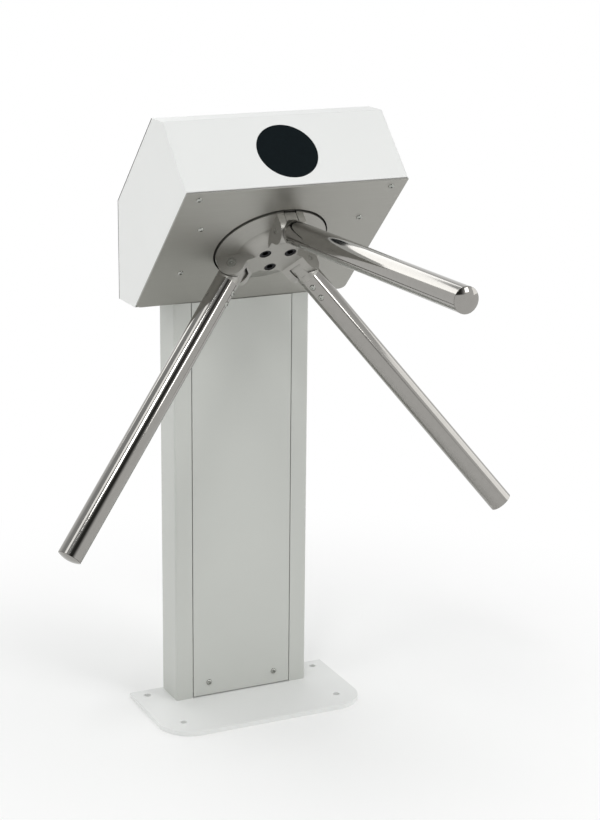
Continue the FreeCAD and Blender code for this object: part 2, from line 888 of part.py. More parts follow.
def ear_block():
    """One pair of ears, before its slot, for an arm along +X."""
    reach = ear_radius * ROOT_HALF
    tangent = Vec(pivot_radius_from_axis - reach, 0, pivot_height + reach)
    foot_inner = Vec(tangent.x - (tangent.z - ear_foot), 0, ear_foot)
    foot_outer = Vec(pivot_radius_from_axis + ear_radius, 0, ear_foot)
    shoulder = Vec(foot_outer.x, 0, pivot_height)
    crown = Vec(pivot_radius_from_axis + reach, 0, pivot_height + reach)
    outline = [
        Part.LineSegment(foot_inner, foot_outer),
        Part.LineSegment(foot_outer, shoulder),
        Part.Arc(shoulder, crown, tangent),
        Part.LineSegment(tangent, foot_inner),
    ]
    face = Part.Face(Part.Wire([line.toShape() for line in outline]))
    ears = shifted(face, 0, -ear_half_span, 0).extrude(Vec(0, 2 * ear_half_span, 0))
    step = block(0, slot_inner, -ear_half_span, ear_half_span, ear_foot, boss_height)
    return ears.fuse(step)


def ear_cuts():
    """The slot between a pair of ears, with the pivot bolt's hole and recess."""
    far = hub_radius + ear_radius
    top = pivot_height + 2 * ear_radius
    slot = block(slot_inner, far, -slot_half, slot_half, 0, top)
    start = Vec(pivot_radius_from_axis, -ear_half_span, pivot_height)
    end = Vec(pivot_radius_from_axis, ear_half_span, pivot_height)
    seat = Vec(pivot_radius_from_axis, pivot_head_recess - ear_half_span, pivot_height)
    hole = rod(pivot_bolt_radius + pivot_clearance, start, end)
    return slot.fuse(hole).fuse(rod(pivot_head_radius + pivot_head_gap, start, seat))


def make_hub_screws():
    """Three socket screws through the boss into the shaft's flange."""
    seat = boss_height - hub_screw_recess
    tip = -hub_back - shaft_flange_thickness
    top = seat + hub_screw_head_height
    screw = disc(hub_screw_head_radius, seat, top)
    screw = screw.cut(hexagon(hub_screw_socket, top - hub_screw_head_height / 2, top))
    screw = shifted(screw.fuse(disc(hub_screw_radius, tip, seat)), hub_screw_circle, 0, 0)
    return [on_hub(copy) for copy in pattern(screw, arm_count, hub_screw_first_angle)]


def make_pivot_bolts():
    """The bolts that the arms swing on."""
    seat = pivot_head_recess - ear_half_span
    bolt = disc(pivot_bolt_radius, seat, ear_half_span - pivot_end_inset)
    head = disc(pivot_head_radius, seat - pivot_head_height, seat)
    head = head.cut(hexagon(pivot_socket, seat - pivot_head_height, seat - pivot_head_height / 3))
    turn = FreeCAD.Rotation(Vec(1, 0, 0), -90)
    bolt = moved(bolt.fuse(head), FreeCAD.Placement(Vec(pivot_radius_from_axis, 0, pivot_height), turn))
    return [on_hub(copy) for copy in pattern(bolt, arm_count, arm_first_angle)]


def make_main_shaft():
    """The shaft: flange, shoulder, bearing seats, threaded end and damper tail."""
    flange_back = hub_back + shaft_flange_thickness
    nut_end = shaft_nut_face + shaft_nut_thickness
    step = rear_bearing_back - shaft_step_inset
    shaft = disc(shaft_flange_radius, -flange_back, -hub_back)
    shaft = shaft.fuse(disc(shaft_shoulder_radius, -front_bearing_face, -flange_back))
    shaft = shaft.fuse(disc(shaft_radius, -step, -front_bearing_face))
    shaft = shaft.fuse(disc(shaft_end_radius, -nut_end, -step))
    shaft = shaft.fuse(disc(shaft_tail_radius, -nut_end - shaft_tail_length, -nut_end))
    drill = shifted(disc(hub_screw_radius, -flange_back, -hub_back), hub_screw_circle, 0, 0)
    for copy in pattern(drill, arm_count, hub_screw_first_angle + hub_turn):
        shaft = shaft.cut(copy)
    return on_face(shaft.removeSplitter())


def make_lock_disc():
    """The notched disc that the pawls drop into."""
    hub = disc(lock_disc_hub_radius, -sensor_disc_face, -rear_bearing_back)
    plate = hub.fuse(disc(lock_disc_radius, -lock_disc_back, -lock_disc_face)).removeSplitter()
    floor = lock_disc_radius - notch_depth
    rim = lock_disc_radius + notch_depth
    spread = notch_mouth + (notch_mouth - notch_floor)
    corners = [(floor, -notch_floor / 2), (rim, -spread / 2), (rim, spread / 2), (floor, notch_floor / 2)]
    points = [Vec(x, y, -lock_disc_back) for x, y in corners + corners[:1]]
    notch = Part.Face(Part.makePolygon(points)).extrude(Vec(0, 0, lock_disc_thickness))
    for copy in pattern(notch, notch_count):
        plate = plate.cut(copy)
    return on_face(plate.cut(disc(shaft_end_radius, -sensor_disc_face, -rear_bearing_back)))


def make_sensor_disc():
    """The thin slotted disc that the light gate reads."""
    plate = ring(sensor_disc_radius, shaft_end_radius, -shaft_nut_face, -sensor_disc_face)
    far = sensor_disc_radius - sensor_slot_inset
    half = sensor_slot_width / 2
    slot = block(far - sensor_slot_length, far, -half, half, -shaft_nut_face, -sensor_disc_face)
    for copy in pattern(slot, sensor_slot_count):
        plate = plate.cut(copy)
    return on_face(plate)


def make_shaft_nut():
    """The nut that clamps both discs and the bearings on the shaft."""
    nut_back = shaft_nut_face + shaft_nut_thickness
    nut = hexagon(shaft_nut_across_flats, -nut_back, -shaft_nut_face)
    return on_face(nut.cut(disc(shaft_end_radius, -nut_back, -shaft_nut_face)))


# Lock pieces that move


def make_pawl(side):
    """One lock pawl, standing clear of its notch."""
    back = -lock_disc_back
    front = -lock_disc_face
    top = pawl_pivot_y + pawl_reach
    near = pawl_pivot_x - pawl_half_width
    far = pawl_pivot_x + pawl_half_width
    bar = block(near, far, pawl_pivot_y, top, back, front)
    eye = shifted(disc(pawl_eye_radius, back, front), pawl_pivot_x, pawl_pivot_y, 0)
    tip = lock_disc_radius + pawl_tooth_gap
    tooth = block(tip, pawl_pivot_x, -pawl_tooth_width / 2, pawl_tooth_width / 2, back, front)
    hole = shifted(disc(pawl_pin_radius + pawl_pin_gap, back, front), pawl_pivot_x, pawl_pivot_y, 0)
    pawl = bar.fuse(eye).fuse(tooth).cut(hole).removeSplitter()
    return on_face(pawl if side > 0 else pawl.mirror(Vec(0, 0, 0), Vec(1, 0, 0)))


def make_plunger(side):
    """The plunger that pushes one pawl, with a round nose."""
    nose = pawl_pivot_x + pawl_half_width + plunger_gap + plunger_radius
    centre = Vec(nose, plunger_height, -lock_middle)
    bar = rod(plunger_radius, centre, Vec(nose + plunger_length, plunger_height, -lock_middle))
    plunger = bar.fuse(Part.makeSphere(plunger_radius, centre)).removeSplitter()
    return on_face(plunger if side > 0 else plunger.mirror(Vec(0, 0, 0), Vec(1, 0, 0)))


# Arm pieces, drawn about the pivot with Z along the arm and -X on its inner side


def on_arm(shape, number):
    """Place a shape drawn in the arm's frame."""
    pivot = Vec(pivot_radius_from_axis, 0, pivot_height)
    lean = FreeCAD.Placement(pivot, FreeCAD.Rotation(Vec(0, 1, 0), arm_lean))
    angle = arm_first_angle + 360.0 * number / arm_count
    return on_hub(turned(moved(shape, lean), angle))


def arm_screw_heights():
    """Places of the two screws along the arm."""
    return (arm_screw_first, arm_screw_first + arm_screw_pitch)


def arm_screw_hole(height):
    """The hole that one arm screw passes through."""
    inner = arm_screw_length - tube_radius
    return rod(arm_screw_shank_radius, Vec(-tube_radius, 0, height), Vec(inner, 0, height))


def make_arm_tube(number):
    """The polished tube of one arm."""
    end = arm_end - cap_rise
    tube = ring(tube_radius, tube_bore, tube_start, end)
    seat = tube_radius - arm_screw_seat_depth
    outside = tube_radius + arm_screw_spot_overrun
    spot_radius = arm_screw_head_radius + arm_screw_seat_gap
    for height in arm_screw_heights():
        spot = rod(spot_radius, Vec(-outside, 0, height), Vec(-seat, 0, height))
        tube = tube.cut(spot).cut(arm_screw_hole(height))
    return on_arm(tube, number)


def make_arm_knuckle(number):
    """The forged end of one arm: round tongue, hollowed shoulder and plug."""
    half = tongue_width / 2
    shoulder = disc(tube_radius, shoulder_start, tube_start)
    hollow = ear_radius + shoulder_gap
    shoulder = shoulder.cut(rod(hollow, Vec(0, -tube_radius, 0), Vec(0, tube_radius, 0)))
    eye = rod(tongue_half_height, Vec(0, -half, 0), Vec(0, half, 0))
    neck = block(-tongue_half_height, tongue_half_height, -half, half, 0, tube_start)
    neck = neck.common(disc(tube_radius, 0, tube_start))
    knuckle = eye.fuse(neck).fuse(shoulder)
    knuckle = knuckle.fuse(disc(tube_bore - plug_gap, tube_start, tube_start + plug_length)).removeSplitter()
    knuckle = knuckle.cut(rod(pivot_bolt_radius + pivot_clearance, Vec(0, -half, 0), Vec(0, half, 0)))
    for height in arm_screw_heights():
        knuckle = knuckle.cut(arm_screw_hole(height))
    return on_arm(knuckle, number)


def make_arm_end_cap(number):
    """The slightly domed cap in the far end of one arm."""
    rim = arm_end - cap_rise
    dome_radius = (tube_radius ** 2 + cap_rise ** 2) / (2 * cap_rise)
    dome = Part.makeSphere(dome_radius, Vec(0, 0, arm_end - dome_radius))
    dome = dome.common(disc(tube_radius, rim, arm_end))
    cap = dome.fuse(disc(tube_bore - plug_gap, rim - cap_plug_length, rim)).removeSplitter()
    return on_arm(cap, number)


def make_arm_screws(number):
    """The two round-headed screws that hold one tube on its plug."""
    seat = tube_radius - arm_screw_seat_depth
    head = crowned(arm_screw_head_radius, arm_screw_head_height)
    head = head.cut(hexagon(arm_screw_shank_radius, arm_screw_head_height / 2, arm_screw_head_height))
    screw = head.fuse(disc(arm_screw_shank_radius, arm_screw_seat_depth - arm_screw_length, 0))
    turn = FreeCAD.Rotation(Vec(0, 1, 0), -90)
    return [on_arm(moved(screw, FreeCAD.Placement(Vec(-seat, 0, height), turn)), number)
            for height in arm_screw_heights()]


# Control board and hood lock


def make_control_board():
    """The circuit board on the pillar's back wall."""
    half = control_board_width / 2
    front = board_face()
    top = control_board_bottom + control_board_height
    return block(-half, half, front, front + board_thickness, control_board_bottom, top)


def make_board_standoffs():
    """Four spacers that hold the control board off the wall."""
    wall = column_back - column_wall
    half = control_board_width / 2 - control_standoff_inset
    low = control_board_bottom + control_standoff_inset
    high = control_board_bottom + control_board_height - control_standoff_inset
    return [rod(control_standoff_radius, Vec(x, wall - control_standoff, z), Vec(x, wall, z))
            for x in (-half, half) for z in (low, high)]


def board_face():
    """The y of the control board's front face."""
    return column_back - column_wall - control_standoff - board_thickness


def on_board(left, low, width, depth, height):
    """A boxed component, placed from the control board's lower left corner."""
    x = left - control_board_width / 2
    z = low + control_board_bottom
    return block(x, x + width, board_face() - depth, board_face(), z, z + height)


def make_board_components():
    """Transformer, two relays, a capacitor and two terminal strips."""
    transformer = on_board(transformer_left, transformer_low, transformer_width, transformer_depth,
                           transformer_height)
    middle = capacitor_middle - control_board_width / 2
    foot = Vec(middle, board_face(), control_board_bottom + capacitor_height)
    capacitor = rod(capacitor_radius, foot, foot.sub(Vec(0, capacitor_length, 0)))
    relays = [on_board(relay_left + relay_pitch * place, relay_low, relay_width, relay_depth, relay_height)
              for place in (0, 1)]
    strips = [on_board(terminal_left + terminal_pitch * place, terminal_low, terminal_width, terminal_depth,
                       terminal_height) for place in (0, 1)]
    return [transformer, capacitor] + relays + strips


def lock_rod(radius, y0, y1):
    """A bar along the hood lock's axis."""
    return rod(radius, Vec(0, y0, lock_z), Vec(0, y1, lock_z))


def make_lock_barrel():
    """The fixed body of the hood lock."""
    inner = head_back - lock_barrel_length
    outer = head_back + lock_flange_thickness
    barrel = lock_rod(lock_barrel_radius, inner, head_back)
    barrel = barrel.fuse(lock_rod(lock_flange_radius, head_back, outer))
    return barrel.cut(lock_rod(lock_plug_radius + lock_plug_gap, inner, outer)).removeSplitter()


def make_key_cylinder():
    """The turning plug of the hood lock, with its key slot."""
    inner = head_back - lock_barrel_length - lock_plug_tail
    outer = head_back + lock_flange_thickness + lock_plug_proud
    half = key_slot_width / 2
    low = lock_z - key_slot_height / 2
    slot = block(-half, half, outer - key_slot_depth, outer, low, low + key_slot_height)
    return lock_rod(lock_plug_radius, inner, outer).cut(slot)


def make_lock_cam():
    """The tongue on the plug's inner end that holds the hood."""
    back = head_back - lock_barrel_length - lock_plug_tail
    front = back - cam_thickness
    cam = block(-cam_half_width, cam_half_width, front, back, lock_z, lock_z + cam_reach)
    return cam.fuse(lock_rod(cam_half_width, front, back)).removeSplitter()


def main():
    """Build and write every node."""
    os.makedirs("parts", exist_ok=True)
    save("base_plate", make_base_plate())
    save("column", make_column())
    save("column_top_plate", make_column_top_plate())
    save("front_panel", make_front_panel())
    save("panel_brackets", make_panel_brackets())
    save("panel_screws", make_panel_screws())
    save("hood_wrapper", make_hood_wrapper())
    save("left_side_panel", make_side_panel(-1))
    save("right_side_panel", make_side_panel(1))
    save("face_plate", make_face_plate())
    save("face_plate_screws", make_face_plate_screws())
    save("head_floor", make_head_floor())
    save("head_bolts", make_head_bolts())
    save("indicator_window", make_indicator_window())
    save("indicator_holder", make_indicator_holder())
    save("indicator_board", make_indicator_board())
    save("indicator_leds", make_indicator_leds())
    save("chassis_plate", make_chassis_plate())
    save("chassis_standoffs", make_chassis_standoffs())
    save("chassis_legs", make_chassis_legs())
    save("bearing_housing", make_bearing_housing())
    save("housing_bolts", make_housing_bolts())
    save("bearing_outer_rings", make_bearing_rings(bearing_outer_radius, bearing_outer_land))
    save("bearing_inner_rings", make_bearing_rings(bearing_inner_land, shaft_radius))
    save("bearing_rollers", make_bearing_rollers())
    save("mechanism_posts", make_mechanism_posts())
    save("rear_plate", make_rear_plate())
    save("damper_body", make_damper_body())
    save("solenoid_bodies", make_solenoid_bodies())
    save("pawl_pins", make_pawl_pins())
    save("position_sensor", make_position_sensor())
    save("hub", make_hub())
    save("hub_screws", make_hub_screws())
    save("pivot_bolts", make_pivot_bolts())
    save("main_shaft", make_main_shaft())
    save("lock_disc", make_lock_disc())
    save("sensor_disc", make_sensor_disc())
    save("shaft_nut", make_shaft_nut())
    for word, side in (("left", -1), ("right", 1)):
        save(word + "_pawl", make_pawl(side))
        save(word + "_plunger", make_plunger(side))
    for number in range(arm_count):
        tail = "_" + str(number + 1)
        save("arm_tube" + tail, make_arm_tube(number))
        save("arm_knuckle" + tail, make_arm_knuckle(number))
        save("arm_end_cap" + tail, make_arm_end_cap(number))
        save("arm_screws" + tail, make_arm_screws(number))
    save("control_board", make_control_board())
    save("board_standoffs", make_board_standoffs())
    save("board_components", make_board_components())
    save("lock_barrel", make_lock_barrel())
    save("key_cylinder", make_key_cylinder())
    save("lock_cam", make_lock_cam())


main()
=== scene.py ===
"""Looks of a tripod turnstile: painted sheet metal, stainless plate, satin hub, polished arms."""

import json
import logging
import math
from dataclasses import dataclass, field
from enum import Enum

import bpy
from mathutils import Matrix, Vector

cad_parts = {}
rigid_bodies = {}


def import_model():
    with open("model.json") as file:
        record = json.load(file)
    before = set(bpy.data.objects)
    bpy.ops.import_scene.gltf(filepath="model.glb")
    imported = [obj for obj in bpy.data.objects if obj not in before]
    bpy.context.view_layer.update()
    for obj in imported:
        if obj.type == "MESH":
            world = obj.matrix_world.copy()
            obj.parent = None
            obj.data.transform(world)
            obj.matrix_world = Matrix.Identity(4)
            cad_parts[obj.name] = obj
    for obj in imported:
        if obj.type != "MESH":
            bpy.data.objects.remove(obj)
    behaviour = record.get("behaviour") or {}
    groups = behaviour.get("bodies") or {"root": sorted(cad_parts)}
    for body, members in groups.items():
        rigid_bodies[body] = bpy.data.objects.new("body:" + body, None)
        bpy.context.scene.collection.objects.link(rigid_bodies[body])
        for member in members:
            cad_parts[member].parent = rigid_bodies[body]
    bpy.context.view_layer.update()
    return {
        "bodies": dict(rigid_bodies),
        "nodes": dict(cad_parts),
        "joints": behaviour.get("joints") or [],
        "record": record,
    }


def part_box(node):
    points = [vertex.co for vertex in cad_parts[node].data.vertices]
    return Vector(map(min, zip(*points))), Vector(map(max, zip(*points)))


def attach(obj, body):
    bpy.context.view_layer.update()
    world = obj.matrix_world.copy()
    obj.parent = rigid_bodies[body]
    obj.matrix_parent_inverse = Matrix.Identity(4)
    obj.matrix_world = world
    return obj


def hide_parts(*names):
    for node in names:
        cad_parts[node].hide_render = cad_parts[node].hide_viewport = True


LOG = logging.getLogger("turnstile")
# Lengths are in metres, apart from names that end in mm, and angles are in degrees.
MM = 0.001
IMAGE_WIDTH = 600
IMAGE_HEIGHT = 820
ARM_NUMBERS = (1, 2, 3)
KNUCKLE = "arm_knuckle_"
# A Mix node has inputs for each type of data. These are the numbers of its colour sockets.
MIX_FIRST = 6
MIX_SECOND = 7
MIX_RESULT = 2
# Edges sharper than this stay crisp when a piece is shaded smooth.
CRISP_EDGE = 32.0
CRISP_HEAD_EDGE = 40.0


class Grain(Enum):
    """The way a metal's surface lines run."""

    ALONG_X = (0.02, 1.0, 1.0)
    ALONG_Z = (1.0, 1.0, 0.02)
    EVEN = (1.0, 1.0, 1.0)


class Merge(Enum):
    """What a tool shape does to the piece that it meets."""

    ADD = "UNION"
    CUT = "DIFFERENCE"


def linear(code: str) -> tuple[float, float, float, float]:
    """Turn an sRGB hex colour into linear light.

    Args:
        code: six hex digits, with or without a leading hash.

    Returns:
        Red, green, blue and an alpha of one.
    """
    digits = code.lstrip("#")
    parts = [int(digits[place:place + 2], 16) / 255 for place in (0, 2, 4)]
    # The sRGB curve has a straight foot and then a power.
    light = [p / 12.92 if p <= 0.04045 else ((p + 0.055) / 1.055) ** 2.4 for p in parts]
    return (light[0], light[1], light[2], 1.0)


def add_node(tree: bpy.types.NodeTree, kind: str, settings: dict | None = None,
             links: dict | None = None) -> bpy.types.Node:
    """Add one shader node with its settings and incoming links.

    Args:
        tree: the node tree to add to.
        kind: the node's Blender type name.
        settings: attribute names, or input names and numbers, with their values.
        links: input names or numbers with the output sockets that feed them.

    Returns:
        The new node.
    """
    node = tree.nodes.new(kind)
    for key, value in (settings or {}).items():
        if isinstance(key, str) and hasattr(node, key):
            setattr(node, key, value)
        else:
            node.inputs[key].default_value = value
    for key, socket in (links or {}).items():
        tree.links.new(socket, node.inputs[key])
    return node


def per_metre(size_mm: float) -> float:
    """Texture scale that gives a pattern a size in millimetres."""
    return 1.0 / (size_mm * MM)


@dataclass(frozen=True)
class Finish:
    """What all finishes share: two close colours, a roughness and a pattern that varies them."""

    name: str
    colour: str
    shade: str
    roughness: float

    def build(self) -> bpy.types.Material:
        """Make the material.

        Returns:
            The finished material.
        """
        material = bpy.data.materials.new(self.name)
        material.use_nodes = True
        self.lay(material.node_tree)
        return material

    def lay(self, tree: bpy.types.NodeTree) -> None:
        """Lay the colour, gloss and relief, which each kind of finish does in its own way."""
        raise NotImplementedError(self.name)

    @staticmethod
    def blend(tree: bpy.types.NodeTree, pattern: bpy.types.NodeSocket, first: str,
              second: str) -> None:
        """Let a pattern blend the base colour from a first to a second colour.

        Args:
            tree: the material's node tree.
            pattern: the socket with the pattern, from zero to one.
            first: the hex colour where the pattern is zero.
            second: the hex colour where it is one.
        """
        tint = add_node(tree, "ShaderNodeMix", {"data_type": "RGBA"}, {"Factor": pattern})
        tint.inputs[MIX_FIRST].default_value = linear(first)
        tint.inputs[MIX_SECOND].default_value = linear(second)
        shader = tree.nodes["Principled BSDF"]
        tree.links.new(tint.outputs[MIX_RESULT], shader.inputs["Base Color"])

    @staticmethod
    def texture(tree: bpy.types.NodeTree, pattern: bpy.types.NodeSocket,
                gloss: tuple[float, float], strength: float, depth: float) -> None:
        """Let a pattern vary the roughness and raise a fine relief.

        Args:
            tree: the material's node tree.
            pattern: the socket with the pattern, from zero to one.
            gloss: the roughness where the pattern is zero and where it is one.
            strength: how strongly the relief shows, from zero to one.
            depth: the relief's depth.
        """
        smoothest, roughest = gloss
        shader = tree.nodes["Principled BSDF"]
        rough = add_node(tree, "ShaderNodeMapRange", {"To Min": smoothest, "To Max": roughest},
                         {"Value": pattern})
        tree.links.new(rough.outputs["Result"], shader.inputs["Roughness"])
        bump = add_node(tree, "ShaderNodeBump", {"Strength": strength, "Distance": depth},
                        {"Height": pattern})
        tree.links.new(bump.outputs["Normal"], shader.inputs["Normal"])


@dataclass(frozen=True)
class PowderPaint(Finish):
    """Powder-coated steel: even colour, satin gloss and a fine orange peel."""

    ior: float = 1.5
    cloud_mm: float = 180.0
    cloud_detail: float = 4.0
    peel_mm: float = 2.4
    peel_detail: float = 2.0
    peel_strength: float = 0.05
    peel_depth: float = 0.2 * MM
    gloss_below: float = 0.05
    gloss_above: float = 0.06

    def lay(self, tree: bpy.types.NodeTree) -> None:
        """Lay faint clouds of shade and the peel.

        Args:
            tree: the material's node tree.
        """
        tree.nodes["Principled BSDF"].inputs["IOR"].default_value = self.ior
        place = add_node(tree, "ShaderNodeTexCoord").outputs["Object"]
        # Handling leaves very faint clouds of shade on a pale coat.
        cloud = add_node(tree, "ShaderNodeTexNoise",
                         {"Scale": per_metre(self.cloud_mm), "Detail": self.cloud_detail},
                         {"Vector": place})
        self.blend(tree, cloud.outputs["Fac"], self.colour, self.shade)
        # The peel is drawn about twice as coarse as it is, so that it shows.
        peel = add_node(tree, "ShaderNodeTexNoise",
                        {"Scale": per_metre(self.peel_mm), "Detail": self.peel_detail},
                        {"Vector": place})
        gloss = (self.roughness - self.gloss_below, self.roughness + self.gloss_above)
        self.texture(tree, peel.outputs["Fac"], gloss, self.peel_strength, self.peel_depth)


@dataclass(frozen=True)
class Steel(Finish):
    """Bare metal with lines left by brushing, turning or polishing."""

    spread: float
    grain: Grain = Grain.EVEN
    grain_mm: float = 1.2
    bump: float = 0.05
    grain_detail: float = 5.0
    grain_roughness: float = 0.6
    grain_depth: float = 0.05 * MM

    def pattern_space(self, tree: bpy.types.NodeTree) -> bpy.types.NodeSocket:
        """Stretch the pattern along the surface lines.

        Args:
            tree: the material's node tree.

        Returns:
            The socket with the pattern's coordinates.
        """
        place = add_node(tree, "ShaderNodeTexCoord").outputs["Object"]
        lines = add_node(tree, "ShaderNodeMapping", {"Scale": self.grain.value},
                         {"Vector": place})
        return lines.outputs["Vector"]

    def lay(self, tree: bpy.types.NodeTree) -> None:
        """Lay the surface lines.

        Args:
            tree: the material's node tree.
        """
        tree.nodes["Principled BSDF"].inputs["Metallic"].default_value = 1.0
        # Brush lines are finer than a pixel, so they are drawn wide enough to catch the light.
        brush = add_node(tree, "ShaderNodeTexNoise",
                         {"Scale": per_metre(self.grain_mm), "Detail": self.grain_detail,
                          "Roughness": self.grain_roughness},
                         {"Vector": self.pattern_space(tree)})
        self.blend(tree, brush.outputs["Fac"], self.shade, self.colour)
        gloss = (self.roughness - self.spread, self.roughness + self.spread)
        self.texture(tree, brush.outputs["Fac"], gloss, self.bump, self.grain_depth)


@dataclass(frozen=True)
class TurnedSteel(Steel):
    """Steel turned on a lathe, with fine rings about an axis."""

    centre: tuple[float, float, float] = (0.0, 0.0, 0.0)
    tilt: float = 0.0

    def pattern_space(self, tree: bpy.types.NodeTree) -> bpy.types.NodeSocket:
        """Measure outwards from the axis, so that the pattern forms rings.

        Args:
            tree: the material's node tree.

        Returns:
            The socket with the pattern's coordinates.
        """
        place = add_node(tree, "ShaderNodeTexCoord").outputs["Object"]
        local = add_node(tree, "ShaderNodeMapping",
                         {"vector_type": "TEXTURE", "Location": self.centre,
                          "Rotation": (math.radians(self.tilt), 0.0, 0.0)}, {"Vector": place})
        parts = add_node(tree, "ShaderNodeSeparateXYZ", {}, {"Vector": local.outputs["Vector"]})
        flat = add_node(tree, "ShaderNodeCombineXYZ", {},
                        {"X": parts.outputs["X"], "Y": parts.outputs["Y"]})
        reach = add_node(tree, "ShaderNodeVectorMath", {"operation": "LENGTH"},
                         {0: flat.outputs["Vector"]})
        rings = add_node(tree, "ShaderNodeCombineXYZ", {},
                         {"X": reach.outputs["Value"], "Y": parts.outputs["Z"]})
        return rings.outputs["Vector"]


@dataclass(frozen=True)
class Moulding(Finish):
    """Moulded plastic, lens or board with a fine even texture."""

    grit_mm: float = 1.5
    ior: float = 1.49
    grit_detail: float = 3.0
    grit_strength: float = 0.08
    grit_depth: float = 0.1 * MM
    gloss_below: float = 0.04
    gloss_above: float = 0.06

    def lay(self, tree: bpy.types.NodeTree) -> None:
        """Lay the grit of the mould.

        Args:
            tree: the material's node tree.
        """
        tree.nodes["Principled BSDF"].inputs["IOR"].default_value = self.ior
        place = add_node(tree, "ShaderNodeTexCoord").outputs["Object"]
        grit = add_node(tree, "ShaderNodeTexNoise",
                        {"Scale": per_metre(self.grit_mm), "Detail": self.grit_detail},
                        {"Vector": place})
        self.blend(tree, grit.outputs["Fac"], self.colour, self.shade)
        gloss = (self.roughness - self.gloss_below, self.roughness + self.gloss_above)
        self.texture(tree, grit.outputs["Fac"], gloss, self.grit_strength, self.grit_depth)


# The hub's place on the face plate, and the turn from upright to the plate's normal.
HUB_CENTRE = (0.0, -0.0802, 0.8392)
FACE_TILT = 135.0

FINISHES: dict[str, Finish] = {
    # Powder coat on folded sheet: a clean white with a soft sheen.
    "head_paint": PowderPaint("white_powder_paint", "#E9EAE8", "#E4E5E3", roughness=0.40),
    # The same kind of coat in light grey, a little duller.
    "pillar_paint": PowderPaint("light_grey_powder_paint", "#C6C8C3", "#C0C2BD", roughness=0.44),
    # A pale coat on the floor plate, the dullest of the three.
    "base_paint": PowderPaint("pale_grey_powder_paint", "#E9EAE8", "#E4E5E3", roughness=0.46),
    # Brushed sheet: lines along the plate spread the light into a soft grey.
    "satin_stainless": Steel("satin_stainless_sheet", "#ABAAA5", "#9E9D97", roughness=0.46,
                             spread=0.05, grain=Grain.ALONG_X, grain_mm=1.6, bump=0.05),
    # Polished tube: it mirrors the room in long bright and dark bands and has no relief.
    "polished_stainless": Steel("polished_stainless_tube", "#9F9D99", "#94928E", roughness=0.08,
                                spread=0.02, grain_mm=9.0, bump=0.0),
    # Lathe-turned steel: faint rings about the axis and broad soft highlights.
    "hub_steel": TurnedSteel("satin_turned_steel", "#A7A6A1", "#979590", roughness=0.41,
                             spread=0.05, grain_mm=2.0, bump=0.02, centre=HUB_CENTRE,
                             tilt=FACE_TILT),
    # Zinc plate: a cool bright grey with a slight mottle.
    "zinc_steel": Steel("zinc_plated_steel", "#ADAFAC", "#9B9C94", roughness=0.24, spread=0.06,
                        grain_mm=3.0, bump=0.05),
    # Black oxide: near black with a dull gleam.
    "black_steel": Steel("black_oxide_steel", "#26262A", "#1A1A1C", roughness=0.42, spread=0.06,
                         grain_mm=1.2, bump=0.08),
    # Ground steel: bright, with a fine even gloss.
    "bearing_steel": Steel("ground_bearing_steel", "#C4C4C2", "#B5B5B3", roughness=0.24,
                           spread=0.05, grain_mm=1.2, bump=0.05),
    # Machined cast iron: a dark, open-grained grey.
    "cast_housing": Steel("machined_cast_iron", "#6A6A6C", "#58585A", roughness=0.52, spread=0.08,
                          grain_mm=2.0, bump=0.20),
    # Smoked acrylic: almost black. The real one shows hardly any sheen, hence the low IOR.
    "dark_lens": Moulding("smoked_acrylic", "#091013", "#10191C", roughness=0.46, grit_mm=6.0,
                          ior=1.14),
    # Moulded nylon: a soft black with a fine grit. The same finish colours the black strips that
    # paint shade in the nose gap and along the panels' rear seams.
    "black_plastic": Moulding("black_nylon_and_shade_strips", "#1B1B1C", "#242425", roughness=0.55),
    # Frosted acrylic: a milky white that spreads the light.
    "clear_plastic": Moulding("diffuse_acrylic", "#E3E6E2", "#D5D9D4", roughness=0.35),
    # Solder mask: an even deep green with a low gloss.
    "circuit_board": Moulding("green_solder_mask", "#12502C", "#0E4224", roughness=0.40),
    # Turned brass: a warm yellow with fine lines.
    "brass_spacer": Steel("turned_brass", "#C9A25A", "#B8924E", roughness=0.28, spread=0.05,
                          grain=Grain.ALONG_Z, grain_mm=1.0, bump=0.05),
    # Chrome plate: bright and close to a mirror.
    "lock_chrome": Steel("chrome_plate", "#DADBDC", "#CDCED0", roughness=0.09, spread=0.03,
                         grain_mm=4.0, bump=0.01),
}


def deselect() -> None:
    """Clear the selection, so that operators touch only the new piece."""
    bpy.ops.object.select_all(action="DESELECT")


def make_active(piece: bpy.types.Object) -> None:
    """Select one object alone and make it the active one.

    Args:
        piece: the object to select.
    """
    deselect()
    piece.select_set(True)
    bpy.context.view_layer.objects.active = piece


def apply_modifier(piece: bpy.types.Object, kind: str, settings: dict) -> None:
    """Add a modifier, set it and apply it.

    Args:
        piece: the object to change.
        kind: the modifier's Blender type name.
        settings: attribute names with their values.
    """
    make_active(piece)
    modifier = piece.modifiers.new(kind.lower(), kind)
    for key, value in settings.items():
        setattr(modifier, key, value)
    bpy.ops.object.modifier_apply(modifier=modifier.name)


def combine(piece: bpy.types.Object, tool: bpy.types.Object, way: Merge) -> None:
    """Add a tool shape to a piece or cut it away, and remove the tool.

    Args:
        piece: the object to change.
        tool: the shape to add or cut away.
        way: which of the two.
    """
    apply_modifier(piece, "BOOLEAN", {"operation": way.value, "object": tool, "solver": "EXACT"})
    bpy.data.objects.remove(tool)


def place_mesh(piece: bpy.types.Object, matrix: Matrix) -> None:
    """Move a piece's mesh to its place and leave its object at the origin.

    Args:
        piece: the object to move.
        matrix: its place and turn.
    """
    piece.matrix_world = matrix
    make_active(piece)
    bpy.ops.object.transform_apply(location=True, rotation=True, scale=True)


def smooth(piece: bpy.types.Object, angle: float = CRISP_EDGE) -> None:
    """Shade a piece smooth, apart from edges sharper than an angle."""
    make_active(piece)
    bpy.ops.object.shade_smooth_by_angle(angle=math.radians(angle))


